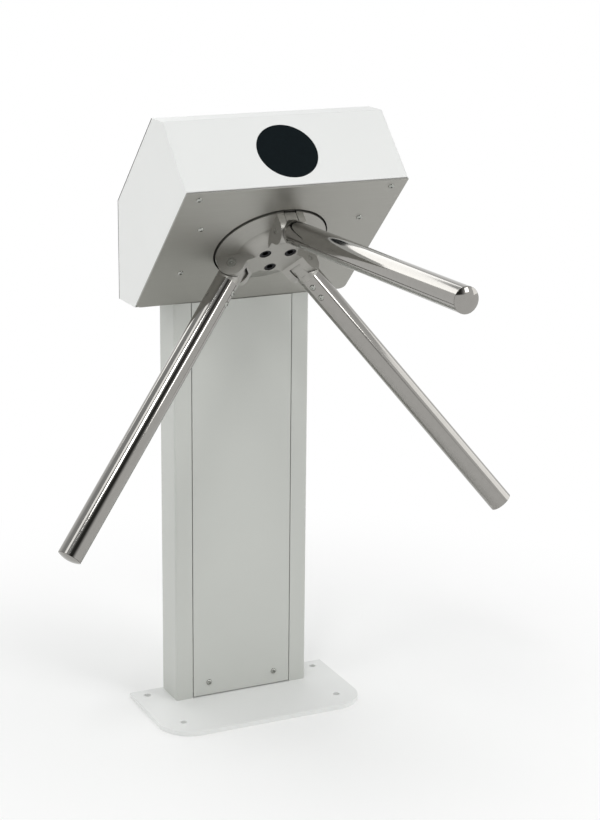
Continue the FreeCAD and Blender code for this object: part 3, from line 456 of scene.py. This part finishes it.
def add_block(size: tuple[float, float, float], middle: tuple[float, float, float],
              turn: float = 0.0) -> bpy.types.Object:
    """Add a block with its size and place in its mesh.

    Args:
        size: its lengths along X, Y and Z.
        middle: the place of its middle.
        turn: its turn about Z.

    Returns:
        The new object, selected and active.
    """
    deselect()
    bpy.ops.mesh.primitive_cube_add(size=1.0, location=middle, scale=size,
                                    rotation=(0, 0, math.radians(turn)))
    block = bpy.context.active_object
    bpy.ops.object.transform_apply(location=True, rotation=True, scale=True)
    return block


def ease_block(block: bpy.types.Object, edge: float) -> None:
    """Round every edge of a block by a small width."""
    apply_modifier(block, "BEVEL", {"width": edge, "segments": 2, "limit_method": "NONE"})


def join_pieces(pieces: list[bpy.types.Object], name: str) -> bpy.types.Object:
    """Join several objects into one.

    Args:
        pieces: the objects, each with its place in its mesh.
        name: the joined piece's name.

    Returns:
        The joined object.
    """
    deselect()
    for piece in pieces:
        piece.select_set(True)
    bpy.context.view_layer.objects.active = pieces[0]
    bpy.ops.object.join()
    pieces[0].name = name
    return pieces[0]


@dataclass
class Workshop:
    """Holds the frame and the finishes, and hands pieces over to their bodies."""

    frame: dict
    merge_gap: float = 0.002 * MM
    flat_angle: float = 0.4
    materials: dict[str, bpy.types.Material] = field(init=False)
    slots: dict[str, str] = field(init=False)
    bodies: dict[str, str] = field(init=False)
    joints: dict[str, dict] = field(init=False)

    def __post_init__(self) -> None:
        """Build every finish and read each node's slot and body, and the joints."""
        self.materials = {slot: finish.build() for slot, finish in FINISHES.items()}
        record = self.frame["record"]
        self.slots = {row["node"]: row["material_slot"] for row in record["subparts"]}
        groups = record["behaviour"]["bodies"]
        self.bodies = {node: body for body, nodes in groups.items() for node in nodes}
        self.joints = {joint["name"]: joint for joint in self.frame["joints"]}

    def dress_nodes(self) -> None:
        """Give every carried-over node the finish of its slot."""
        for name, node in self.frame["nodes"].items():
            self.dress(node, self.slots[name])

    def dress(self, piece: bpy.types.Object, slot: str) -> None:
        """Put one finish on a piece."""
        piece.data.materials.clear()
        piece.data.materials.append(self.materials[slot])

    def hand_over(self, piece: bpy.types.Object, node: str) -> None:
        """Ride a piece on its node's body, in that node's place.

        Args:
            piece: the finished object.
            node: the CAD node that the piece stands for.
        """
        self.add_beside(piece, node, self.slots[node])
        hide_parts(node)
        LOG.info("%s stands for %s", piece.name, node)

    def add_beside(self, piece: bpy.types.Object, node: str, slot: str) -> None:
        """Dress a piece and ride it on a node's body.

        Args:
            piece: the finished object.
            node: the CAD node whose body it rides on.
            slot: the material slot of its finish.
        """
        self.dress(piece, slot)
        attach(piece, self.bodies[node])
        LOG.info("%s rides with %s, %d faces", piece.name, node, len(piece.data.polygons))

    def face_frame(self) -> Matrix:
        """The face plate's own frame about the hub: X across, Y up along the plate, Z out of it.

        Returns:
            The matrix that takes the face frame to the part's frame.
        """
        hub = Vector(self.joints["hub_spin"]["pos_m"])
        return Matrix.Translation(hub) @ Matrix.Rotation(math.radians(FACE_TILT), 4, "X")

    def arm_frame(self, number: int) -> Matrix:
        """An arm's own frame: Z along the tube, Y along the pivot, -X on the inner side.

        Args:
            number: the arm's number.

        Returns:
            The matrix that takes the arm's frame to the part's frame.
        """
        joint = self.joints[f"arm_{number}_drop"]
        out = Vector(self.joints["hub_spin"]["axis"]).normalized()
        fold = Vector(joint["axis"]).normalized()
        along = (out.cross(fold) + out).normalized()
        across = -fold
        side = across.cross(along)
        turn = Matrix((side, across, along)).transposed().to_4x4()
        return Matrix.Translation(Vector(joint["pos_m"])) @ turn

    def merged_copy(self, node: str, name: str) -> bpy.types.Object:
        """Copy a node's mesh, merge its points and join its flat faces.

        Args:
            node: the CAD node to copy.
            name: the new piece's name.

        Returns:
            The new object, selected and active.
        """
        piece = bpy.data.objects.new(name, self.frame["nodes"][node].data.copy())
        bpy.context.scene.collection.objects.link(piece)
        make_active(piece)
        bpy.ops.object.mode_set(mode="EDIT")
        bpy.ops.mesh.select_all(action="SELECT")
        bpy.ops.mesh.remove_doubles(threshold=self.merge_gap)
        bpy.ops.mesh.dissolve_limited(angle_limit=math.radians(self.flat_angle))
        bpy.ops.object.mode_set(mode="OBJECT")
        return piece

    def set_copies(self, pattern: bpy.types.Object, spots: list[Matrix], name: str,
                   node: str) -> None:
        """Copy a piece to each place, join the copies and hand them over.

        Args:
            pattern: the piece to copy.
            spots: the places.
            name: the joined piece's name.
            node: the CAD node that they stand for.
        """
        copies = []
        for spot in spots:
            copy = bpy.data.objects.new(name, pattern.data.copy())
            bpy.context.scene.collection.objects.link(copy)
            place_mesh(copy, spot)
            copies.append(copy)
        self.hand_over(join_pieces(copies, name), node)


@dataclass
class Casing:
    """Sheet-metal pieces and machined blocks whose edges are eased."""

    shop: Workshop
    edges_mm: dict[str, float] = field(default_factory=lambda: {
        "base_plate": 1.0, "column": 0.3, "front_panel": 0.5, "hood_wrapper": 0.35,
        "left_side_panel": 0.45, "right_side_panel": 0.45, "face_plate": 0.5, "hub": 0.9,
        "indicator_window": 0.4, "hub_screws": 0.4, "pivot_bolts": 0.4, "lock_barrel": 0.5,
        "arm_knuckle_1": 0.5, "arm_knuckle_2": 0.5, "arm_knuckle_3": 0.5,
    })
    edge_segments: int = 3
    eased_from: float = 35.0
    flat_weight: int = 60
    # The heel is measured from the arm's pivot, square to the hub.
    arm_lean: float = 45.0
    heel_start: float = 7.0 * MM
    heel_reach: float = 21.7 * MM
    heel_depth: float = 19.5 * MM
    heel_width: float = 20.8 * MM

    def build(self) -> None:
        """Make an eased copy of each listed node."""
        for node, width in self.edges_mm.items():
            piece = self.shop.merged_copy(node, node + "_finished")
            if node.startswith(KNUCKLE):
                self.square_heel(piece, int(node.removeprefix(KNUCKLE)))
            self.ease_edges(piece, width * MM)
            self.shop.hand_over(piece, node)

    def ease_edges(self, piece: bpy.types.Object, width: float) -> None:
        """Round a piece's sharp edges and keep its flat faces flat.

        Args:
            piece: the object to change.
            width: the width of the rounding.
        """
        apply_modifier(piece, "BEVEL", {"width": width, "segments": self.edge_segments,
                                        "limit_method": "ANGLE",
                                        "angle_limit": math.radians(self.eased_from),
                                        "harden_normals": False, "use_clamp_overlap": True})
        smooth(piece)
        apply_modifier(piece, "WEIGHTED_NORMAL", {"mode": "FACE_AREA", "weight": self.flat_weight,
                                                  "keep_sharp": True})

    def square_heel(self, knuckle: bpy.types.Object, number: int) -> None:
        """Square the tongue's outer corner between the ears, where the drop leaves it room.

        Args:
            knuckle: the knuckle's copy, in its place.
            number: the number of the arm that it belongs to.
        """
        middle = (self.heel_start + self.heel_reach) / 2
        heel = add_block((self.heel_reach - self.heel_start, self.heel_width, self.heel_depth),
                         (middle, 0, -self.heel_depth / 2))
        # The arm leans, so the heel turns back by as much to stand square on the hub.
        turn = Matrix.Rotation(math.radians(-self.arm_lean), 4, "Y")
        place_mesh(heel, self.shop.arm_frame(number) @ turn)
        combine(knuckle, heel, Merge.ADD)


@dataclass
class DomedHead:
    """A round screw head about Z that stands on z = 0 and has a socket in its top."""

    radius: float
    rise: float
    socket_radius: float
    socket_corners: int
    segments: int = 40
    rings: int = 24
    # The ball is cut this share of its radius above its middle.
    foot_cut: float = 0.05

    def build(self) -> bpy.types.Object:
        """Cut a ball just above its middle, press it to its height and sink the socket.

        Returns:
            The new object.
        """
        foot = self.foot_cut * self.radius
        height = (1 - self.foot_cut) * self.radius
        deselect()
        bpy.ops.mesh.primitive_uv_sphere_add(segments=self.segments, ring_count=self.rings,
                                             radius=self.radius, location=(0, 0, 0))
        head = bpy.context.active_object
        bpy.ops.object.mode_set(mode="EDIT")
        bpy.ops.mesh.select_all(action="SELECT")
        bpy.ops.mesh.bisect(plane_co=(0, 0, foot), plane_no=(0, 0, 1), clear_inner=True,
                            use_fill=True)
        bpy.ops.mesh.select_all(action="SELECT")
        bpy.ops.transform.translate(value=(0, 0, -foot))
        bpy.ops.transform.resize(value=(1, 1, self.rise / height), center_override=(0, 0, 0))
        bpy.ops.object.mode_set(mode="OBJECT")
        deselect()
        bpy.ops.mesh.primitive_cylinder_add(vertices=self.socket_corners, depth=self.rise,
                                            radius=self.socket_radius, location=(0, 0, self.rise))
        combine(head, bpy.context.active_object, Merge.CUT)
        smooth(head, CRISP_HEAD_EDGE)
        return head


@dataclass
class Arm:
    """One polished arm: its tube, its domed cap and its two round screws."""

    shop: Workshop
    number: int
    radius: float = 20.0 * MM
    wall: float = 3.0 * MM
    start: float = 26.0 * MM
    rim: float = 545.0 * MM
    edge: float = 0.8 * MM
    sides: int = 96
    dome: float = 4.7 * MM
    dome_rings: int = 14
    cap_plug: float = 12.0 * MM
    cap_play: float = 0.05 * MM
    cap_merge_gap: float = 0.01 * MM
    lip_inset: float = 0.7 * MM
    crown_inset: float = 0.4 * MM
    lip_rise: float = 0.35 * MM
    screw_heights: tuple[float, float] = (40.0 * MM, 62.0 * MM)
    screw_seat: float = 19.1 * MM
    screw_radius: float = 5.0 * MM
    screw_rise: float = 2.6 * MM
    socket_radius: float = 1.7 * MM
    socket_corners: int = 6
    spot_radius: float = 5.5 * MM
    spot_depth: float = 4.0 * MM
    spot_sides: int = 48
    # The tube has a ring of points on both sides of a seat, this many seat radii from its middle.
    spot_margin: float = 1.6

    def build(self) -> None:
        """Make the tube, the cap and the screws."""
        self.build_tube()
        self.build_cap()
        self.build_screws()

    def build_tube(self) -> None:
        """Draw a circle out ring by ring, thicken it and spot-face the screw seats."""
        deselect()
        bpy.ops.mesh.primitive_circle_add(vertices=self.sides, radius=self.radius,
                                          fill_type="NOTHING", location=(0, 0, 0))
        tube = bpy.context.active_object
        tube.name = f"arm_{self.number}_tube"
        low, high = self.screw_heights
        margin = self.spot_margin * self.spot_radius
        stops = [self.start + self.edge, low - margin, low + margin, high - margin, high + margin,
                 self.rim - self.edge, self.rim]
        bpy.ops.object.mode_set(mode="EDIT")
        bpy.ops.mesh.select_all(action="SELECT")
        bpy.ops.transform.translate(value=(0, 0, self.start))
        level = self.start
        for stop in stops:
            rise = (0, 0, stop - level)
            bpy.ops.mesh.extrude_region_move(TRANSFORM_OT_translate={"value": rise})
            level = stop
        bpy.ops.mesh.select_all(action="SELECT")
        bpy.ops.mesh.normals_make_consistent(inside=False)
        bpy.ops.object.mode_set(mode="OBJECT")
        apply_modifier(tube, "SOLIDIFY", {"thickness": self.wall, "offset": -1.0,
                                          "use_even_offset": True})
        for height in self.screw_heights:
            self.cut_spot(tube, height)
        smooth(tube)
        place_mesh(tube, self.shop.arm_frame(self.number))
        self.shop.hand_over(tube, f"arm_tube_{self.number}")

    def cut_spot(self, tube: bpy.types.Object, height: float) -> None:
        """Cut one flat seat into the tube's inner side.

        Args:
            tube: the tube, still in the arm's own frame.
            height: the seat's place along the arm.
        """
        middle = -self.screw_seat - self.spot_depth / 2
        deselect()
        bpy.ops.mesh.primitive_cylinder_add(vertices=self.spot_sides, radius=self.spot_radius,
                                            depth=self.spot_depth, location=(middle, 0, height),
                                            rotation=(0, math.radians(90), 0))
        cutter = bpy.context.active_object
        bpy.ops.object.transform_apply(location=True, rotation=True, scale=True)
        combine(tube, cutter, Merge.CUT)

    def build_cap(self) -> None:
        """Draw the domed cap out of a circle: a plug, an eased lip and narrowing rings."""
        plug = self.radius - self.wall - self.cap_play
        lip = self.radius - self.lip_inset
        edge = self.radius - self.crown_inset
        deselect()
        bpy.ops.mesh.primitive_circle_add(vertices=self.sides, radius=plug, fill_type="NGON",
                                          location=(0, 0, 0))
        cap = bpy.context.active_object
        cap.name = f"arm_{self.number}_end_cap"
        bpy.ops.object.mode_set(mode="EDIT")
        bpy.ops.mesh.select_all(action="SELECT")
        bpy.ops.transform.translate(value=(0, 0, self.rim - self.cap_plug))
        self.grow_ring(self.cap_plug, 1.0)
        self.grow_ring(0.0, lip / plug)
        self.grow_ring(self.lip_rise, edge / lip)
        self.grow_crown(edge)
        bpy.ops.mesh.select_all(action="SELECT")
        bpy.ops.mesh.remove_doubles(threshold=self.cap_merge_gap)
        bpy.ops.mesh.normals_make_consistent(inside=False)
        bpy.ops.object.mode_set(mode="OBJECT")
        smooth(cap)
        place_mesh(cap, self.shop.arm_frame(self.number))
        self.shop.hand_over(cap, f"arm_end_cap_{self.number}")

    def grow_crown(self, edge: float) -> None:
        """Close the cap with the crown of a ball that meets the lip's edge.

        Args:
            edge: the crown's radius at the lip.
        """
        crown = self.dome - self.lip_rise
        ball = (edge ** 2 + crown ** 2) / (2 * crown)
        opening = math.asin(edge / ball)
        level = 0.0
        width = edge
        for step in range(1, self.dome_rings):
            angle = opening * (1 - step / self.dome_rings)
            rise = ball * math.cos(angle) - (ball - crown)
            self.grow_ring(rise - level, ball * math.sin(angle) / width)
            level = rise
            width = ball * math.sin(angle)
        self.grow_ring(crown - level, 0.0)

    @staticmethod
    def grow_ring(rise: float, shrink: float) -> None:
        """Extrude the selected ring upwards and scale it about the Z axis."""
        bpy.ops.mesh.extrude_region_move(TRANSFORM_OT_translate={"value": (0, 0, rise)})
        bpy.ops.transform.resize(value=(shrink, shrink, 1.0))

    def build_screws(self) -> None:
        """Model one round head and set a copy on each seat."""
        pattern = DomedHead(self.screw_radius, self.screw_rise, self.socket_radius,
                            self.socket_corners).build()
        arm = self.shop.arm_frame(self.number)
        turn = Matrix.Rotation(math.radians(-90), 4, "Y")
        spots = [arm @ Matrix.Translation((-self.screw_seat, 0, height)) @ turn
                 for height in self.screw_heights]
        self.shop.set_copies(pattern, spots, f"arm_{self.number}_round_screws",
                             f"arm_screws_{self.number}")
        bpy.data.objects.remove(pattern)


@dataclass
class PanScrews:
    """The zinc-plated cross-recess screws on the face plate and the front panel."""

    shop: Workshop
    radius: float = 5.2 * MM
    rise: float = 3.2 * MM
    recess: float = 2.6 * MM
    recess_width: float = 1.1 * MM
    # The recess goes this share of the head's height deep.
    recess_share: float = 0.6
    pit_radius: float = 0.7 * MM
    pit_corners: int = 12
    face_spots_mm: tuple[tuple[float, float], ...] = (
        (-140.0, 59.0), (140.0, 59.0), (-140.0, -64.0), (140.0, -64.0), (-167.0, 142.0),
        (167.0, 142.0))
    face_first_turn: float = 23.0
    face_next_turn: float = 37.0
    panel_spread: float = 62.5 * MM
    panel_turn: float = 20.0

    def head(self) -> bpy.types.Object:
        """Model one head with a cross recess.

        Returns:
            The head about Z, standing on z = 0.
        """
        head = DomedHead(self.radius, self.rise, self.pit_radius, self.pit_corners).build()
        size = (2 * self.recess, self.recess_width, 2 * self.recess_share * self.rise)
        for turn in (0, 90):
            combine(head, add_block(size, (0, 0, self.rise), turn), Merge.CUT)
        smooth(head, CRISP_HEAD_EDGE)
        return head

    def build(self) -> None:
        """Model one head and set a copy at each screw's place."""
        pattern = self.head()
        self.shop.set_copies(pattern, self.face_places(), "face_plate_pan_screws",
                             "face_plate_screws")
        self.shop.set_copies(pattern, self.panel_places(), "front_panel_pan_screws",
                             "panel_screws")
        bpy.data.objects.remove(pattern)

    def face_places(self) -> list[Matrix]:
        """Places of the face plate's screws, each turned as it happened to be driven home.

        Returns:
            One matrix per screw.
        """
        face = self.shop.face_frame()
        places = []
        for index, (across, up) in enumerate(self.face_spots_mm):
            turn = math.radians(self.face_first_turn + self.face_next_turn * index)
            spot = Matrix.Translation((across * MM, up * MM, 0))
            places.append(face @ spot @ Matrix.Rotation(turn, 4, "Z"))
        return places

    def panel_places(self) -> list[Matrix]:
        """Places of the front panel's two screws.

        Returns:
            One matrix per screw.
        """
        low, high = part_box("panel_screws")
        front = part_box("front_panel")[0].y
        middle = (low.z + high.z) / 2
        forward = Matrix.Rotation(math.radians(90), 4, "X")
        places = []
        for side in (-1, 1):
            spot = Matrix.Translation((side * self.panel_spread, front, middle))
            spin = Matrix.Rotation(math.radians(self.panel_turn * side), 4, "Z")
            places.append(spot @ forward @ spin)
        return places


@dataclass
class NoseGapShade:
    """A black strip in the gap between the hood's fold and the face plate: painted shade that
    darkens the groove there.
    """

    shop: Workshop
    length: float = 380.0 * MM
    depth: float = 6.0 * MM
    thickness: float = 0.7 * MM
    plate_top: float = 158.5 * MM
    set_back: float = 0.4 * MM
    behind_face: float = 3.4 * MM
    edge: float = 0.15 * MM

    def build(self) -> None:
        """Lay the strip along the plate's upper edge."""
        middle = self.plate_top - self.set_back - self.depth / 2
        # Painted shade: a black strip that makes the gap under the hood's fold read as a dark
        # line.
        gap_shade = add_block((self.length, self.depth, self.thickness),
                         (0, middle, -self.behind_face))
        gap_shade.name = "nose_gap_shade"
        ease_block(gap_shade, self.edge)
        place_mesh(gap_shade, self.shop.face_frame())
        self.shop.add_beside(gap_shade, "hood_wrapper", "black_plastic")


@dataclass
class EdgeSeamShade:
    """Thin dark strips along the rear edges of the head's side panels: painted shade that draws
    the seam there as a dark line.
    """

    shop: Workshop
    width: float = 1.4 * MM
    thickness: float = 0.25 * MM
    edge: float = 0.06 * MM
    clearance: float = 0.02 * MM
    tolerance: float = 0.1 * MM

    def build(self) -> None:
        """Lay one bar along the rear slope and one along the back of each panel."""
        for name, side in (("left", -1), ("right", 1)):
            node = f"{name}_side_panel"
            stops = self.rear_corners(node, side)
            bars = [self.bar(start, end) for start, end in zip(stops, stops[1:])]
            # Painted shade: the dark strips draw the panels' rear seams as dark lines.
            seam_shade = join_pieces(bars, f"{name}_edge_seam_shade")
            self.shop.add_beside(seam_shade, node, "black_plastic")

    def rear_corners(self, node: str, side: int) -> list[Vector]:
        """Find the corners of a panel's rear edge, from its top to its foot.

        Args:
            node: the panel's CAD node.
            side: -1 for the left panel and 1 for the right one.

        Returns:
            The corners, brought out to the middle of the strip's thickness.
        """
        points = [vertex.co for vertex in self.shop.frame["nodes"][node].data.vertices]
        top = max(point.z for point in points)
        back = max(point.y for point in points)
        top_back = max(point.y for point in points if point.z > top - self.tolerance)
        shoulder = max(point.z for point in points if point.y > back - self.tolerance)
        foot = min(point.z for point in points)
        face = max(side * point.x for point in points) + self.clearance + self.thickness / 2
        return [Vector((side * face, top_back, top)), Vector((side * face, back, shoulder)),
                Vector((side * face, back, foot))]

    def bar(self, start: Vector, end: Vector) -> bpy.types.Object:
        """Make one flat bar whose outer edge runs between two points.

        Args:
            start: the upper end.
            end: the lower end.

        Returns:
            The new object, with its place in its mesh.
        """
        along = (end - start).normalized()
        inward = Vector((1, 0, 0)).cross(along)
        if inward.y > 0:
            inward = -inward
        turn = Matrix((along, inward, along.cross(inward))).transposed().to_4x4()
        bar = add_block(((end - start).length, self.width, self.thickness),
                        (0, self.width / 2, 0))
        ease_block(bar, self.edge)
        place_mesh(bar, Matrix.Translation((start + end) / 2) @ turn)
        return bar


@dataclass(frozen=True)
class Softbox:
    """One area light that faces a point, with its power in watts."""

    name: str
    place: tuple[float, float, float]
    target: tuple[float, float, float]
    size: tuple[float, float]
    power: float

    def build(self) -> None:
        """Hang the light. The camera does not see it, only its reflections."""
        data = bpy.data.lights.new(self.name, "AREA")
        data.shape = "RECTANGLE"
        data.size, data.size_y = self.size
        data.energy = self.power
        lamp = bpy.data.objects.new(self.name, data)
        bpy.context.scene.collection.objects.link(lamp)
        lamp.location = self.place
        aim = Vector(self.target) - Vector(self.place)
        lamp.rotation_euler = aim.to_track_quat("-Z", "Y").to_euler()
        lamp.visible_camera = False


SOFTBOXES = (
    # High on the right: lights the nose slope and the ends of the hub's ears.
    Softbox("key_softbox", (1.55, -2.2, 3.25), (0.0, -0.1, 0.8), size=(1.1, 1.1), power=20.0),
    # High on the left: lights the left side panel.
    Softbox("left_softbox", (-2.2, -0.6, 3.2), (0.0, 0.0, 0.6), size=(1.0, 2.2), power=12.0),
    # A wide strip on the right: draws the bright band along the tubes.
    Softbox("right_softbox", (3.2, -1.0, 1.45), (0.2, -0.2, 0.5), size=(3.2, 1.2), power=14.0),
    # High in front: throws the head's shadow onto the front panel.
    Softbox("front_softbox", (-1.3, -1.8, 3.2), (0.0, -0.06, 0.5), size=(0.6, 0.6), power=15.0),
    # Small and low in front: the hub's ears throw it back onto the face plate.
    Softbox("ear_softbox", (1.1, -2.45, 1.65), (0.0, -0.16, 0.87), size=(0.5, 0.5), power=5.0),
    # Behind: lights the back of the part and the floor.
    Softbox("back_softbox", (-0.45, 2.8, 2.45), (0.0, -0.3, 0.8), size=(2.9, 1.2), power=22.0),
)


@dataclass
class Studio:
    """Pale floor, soft lights and the camera at the photograph's angle."""

    camera_place: tuple[float, float, float] = (-1.3758, -3.0870, 1.5081)
    camera_right: tuple[float, float, float] = (0.90394, -0.42754, 0.00956)
    camera_up: tuple[float, float, float] = (0.10976, 0.25357, 0.96107)
    focal_pixels: float = 2063.41
    sensor_mm: float = 36.0
    sight: float = 200.0
    floor_size: float = 60.0
    floor_cells: int = 8
    floor_colour: str = "#FCFCFB"
    floor_roughness: float = 0.9
    # The floor is matt up to the first distance from the middle, and clear white from the second.
    clear_from: float = 0.25
    clear_to: float = 1.1
    sky_strength: float = 1.0
    # Each band is the height of a direction, from level to straight up, and the colour there.
    sky_bands: tuple[tuple[float, str], ...] = (
        (0.0, "#FFFFFF"), (0.32, "#FFFFFF"), (0.60, "#C4C5C6"), (1.0, "#C4C5C6"))
    # Each side of the dark wall is where it starts and where it is full, as a part of a direction.
    dark_wall: str = "#3E3E3C"
    wall_left: tuple[float, float] = (-0.55, -0.38)
    wall_right: tuple[float, float] = (0.55, 0.10)
    wall_front: tuple[float, float] = (0.0, -0.25)
    wall_foot: tuple[float, float] = (0.12, 0.18)
    wall_top: tuple[float, float] = (0.80, 0.64)

    def build(self) -> None:
        """Make the floor, the sky, the lights and the camera."""
        self.build_floor()
        self.build_sky()
        for softbox in SOFTBOXES:
            softbox.build()
        self.build_camera()
        bpy.context.scene.view_settings.view_transform = "Standard"

    def build_floor(self) -> None:
        """Add the floor, a wide pale sheet."""
        deselect()
        bpy.ops.mesh.primitive_grid_add(x_subdivisions=self.floor_cells,
                                        y_subdivisions=self.floor_cells, size=self.floor_size,
                                        location=(0, 0, 0))
        floor = bpy.context.active_object
        floor.name = "studio_floor"
        floor.data.materials.append(self.floor_material())

    def floor_material(self) -> bpy.types.Material:
        """Matt white near the part, where its shadow lies, and clear white further off.

        Returns:
            The finished material.
        """
        material = bpy.data.materials.new("pale_matt_floor")
        material.use_nodes = True
        tree = material.node_tree
        shader = tree.nodes["Principled BSDF"]
        shader.inputs["Base Color"].default_value = linear(self.floor_colour)
        shader.inputs["Roughness"].default_value = self.floor_roughness
        place = add_node(tree, "ShaderNodeTexCoord").outputs["Object"]
        reach = add_node(tree, "ShaderNodeVectorMath", {"operation": "LENGTH"}, {0: place})
        far = add_node(tree, "ShaderNodeMapRange",
                       {"interpolation_type": "SMOOTHSTEP", "From Min": self.clear_from,
                        "From Max": self.clear_to}, {"Value": reach.outputs["Value"]})
        path = add_node(tree, "ShaderNodeLightPath")
        seen = add_node(tree, "ShaderNodeMath", {"operation": "MAXIMUM"},
                        {0: path.outputs["Is Camera Ray"], 1: path.outputs["Is Glossy Ray"]})
        shown = add_node(tree, "ShaderNodeMath", {"operation": "MAXIMUM"},
                         {0: seen.outputs[0], 1: path.outputs["Is Transmission Ray"]})
        share = add_node(tree, "ShaderNodeMath", {"operation": "MULTIPLY"},
                         {0: far.outputs["Result"], 1: shown.outputs[0]})
        clear = add_node(tree, "ShaderNodeEmission", {"Strength": 1.0})
        mixed = add_node(tree, "ShaderNodeMixShader", {},
                         {0: share.outputs[0], 1: shader.outputs[0], 2: clear.outputs[0]})
        tree.links.new(mixed.outputs[0], tree.nodes["Material Output"].inputs["Surface"])
        return material

    def build_sky(self) -> None:
        """Set a soft bright room with a dark wall in front."""
        world = bpy.data.worlds.new("studio_room")
        bpy.context.scene.world = world
        world.use_nodes = True
        tree = world.node_tree
        tree.nodes.clear()
        place = add_node(tree, "ShaderNodeTexCoord").outputs["Generated"]
        way = add_node(tree, "ShaderNodeSeparateXYZ", {}, {"Vector": place})
        ramp = add_node(tree, "ShaderNodeValToRGB", {}, {"Fac": way.outputs["Z"]})
        stops = ramp.color_ramp.elements
        while len(stops) < len(self.sky_bands):
            stops.new(1.0)
        for stop, (level, colour) in zip(stops, self.sky_bands):
            stop.position = level
            stop.color = linear(colour)
        room = add_node(tree, "ShaderNodeMix", {"data_type": "RGBA"},
                        {"Factor": self.wall_share(tree, way), MIX_FIRST: ramp.outputs["Color"]})
        room.inputs[MIX_SECOND].default_value = linear(self.dark_wall)
        glow = add_node(tree, "ShaderNodeBackground", {"Strength": self.sky_strength},
                        {"Color": room.outputs[MIX_RESULT]})
        add_node(tree, "ShaderNodeOutputWorld", {}, {"Surface": glow.outputs["Background"]})

    def wall_share(self, tree: bpy.types.NodeTree, way: bpy.types.Node) -> bpy.types.NodeSocket:
        """Mark one stretch of wall in front, which gives polished tubes their dark bands.

        Args:
            tree: the world's node tree.
            way: the node with the direction's X, Y and Z.

        Returns:
            The socket that is one on the dark wall and zero off it.
        """
        limits = (("X", self.wall_left), ("X", self.wall_right), ("Y", self.wall_front),
                  ("Z", self.wall_foot), ("Z", self.wall_top))
        share = None
        for axis, (clear, dark) in limits:
            edge = add_node(tree, "ShaderNodeMapRange",
                            {"interpolation_type": "SMOOTHSTEP", "From Min": clear,
                             "From Max": dark}, {"Value": way.outputs[axis]})
            if share is None:
                share = edge.outputs["Result"]
            else:
                both = add_node(tree, "ShaderNodeMath", {"operation": "MULTIPLY"},
                                {0: share, 1: edge.outputs["Result"]})
                share = both.outputs[0]
        return share

    def build_camera(self) -> None:
        """Stand the camera where the photograph was taken from."""
        data = bpy.data.cameras.new("photo_camera")
        data.sensor_fit = "AUTO"
        data.sensor_width = self.sensor_mm
        data.lens = self.focal_pixels * self.sensor_mm / max(IMAGE_WIDTH, IMAGE_HEIGHT)
        data.clip_end = self.sight
        camera = bpy.data.objects.new("photo_camera", data)
        bpy.context.scene.collection.objects.link(camera)
        right = Vector(self.camera_right)
        up = Vector(self.camera_up)
        turn = Matrix((right, up, right.cross(up))).transposed().to_4x4()
        camera.matrix_world = Matrix.Translation(Vector(self.camera_place)) @ turn
        bpy.context.scene.camera = camera


def main() -> None:
    """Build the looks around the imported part."""
    logging.basicConfig(level=logging.INFO, format="%(name)s: %(message)s")
    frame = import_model()
    shop = Workshop(frame)
    shop.dress_nodes()
    arms = [Arm(shop, number) for number in ARM_NUMBERS]
    screws_and_strips = [PanScrews(shop), NoseGapShade(shop), EdgeSeamShade(shop)]
    for assembly in [Casing(shop), *arms, *screws_and_strips, Studio()]:
        assembly.build()
        LOG.info("%s is built", type(assembly).__name__)
    deselect()


if __name__ == "__main__":
    main()
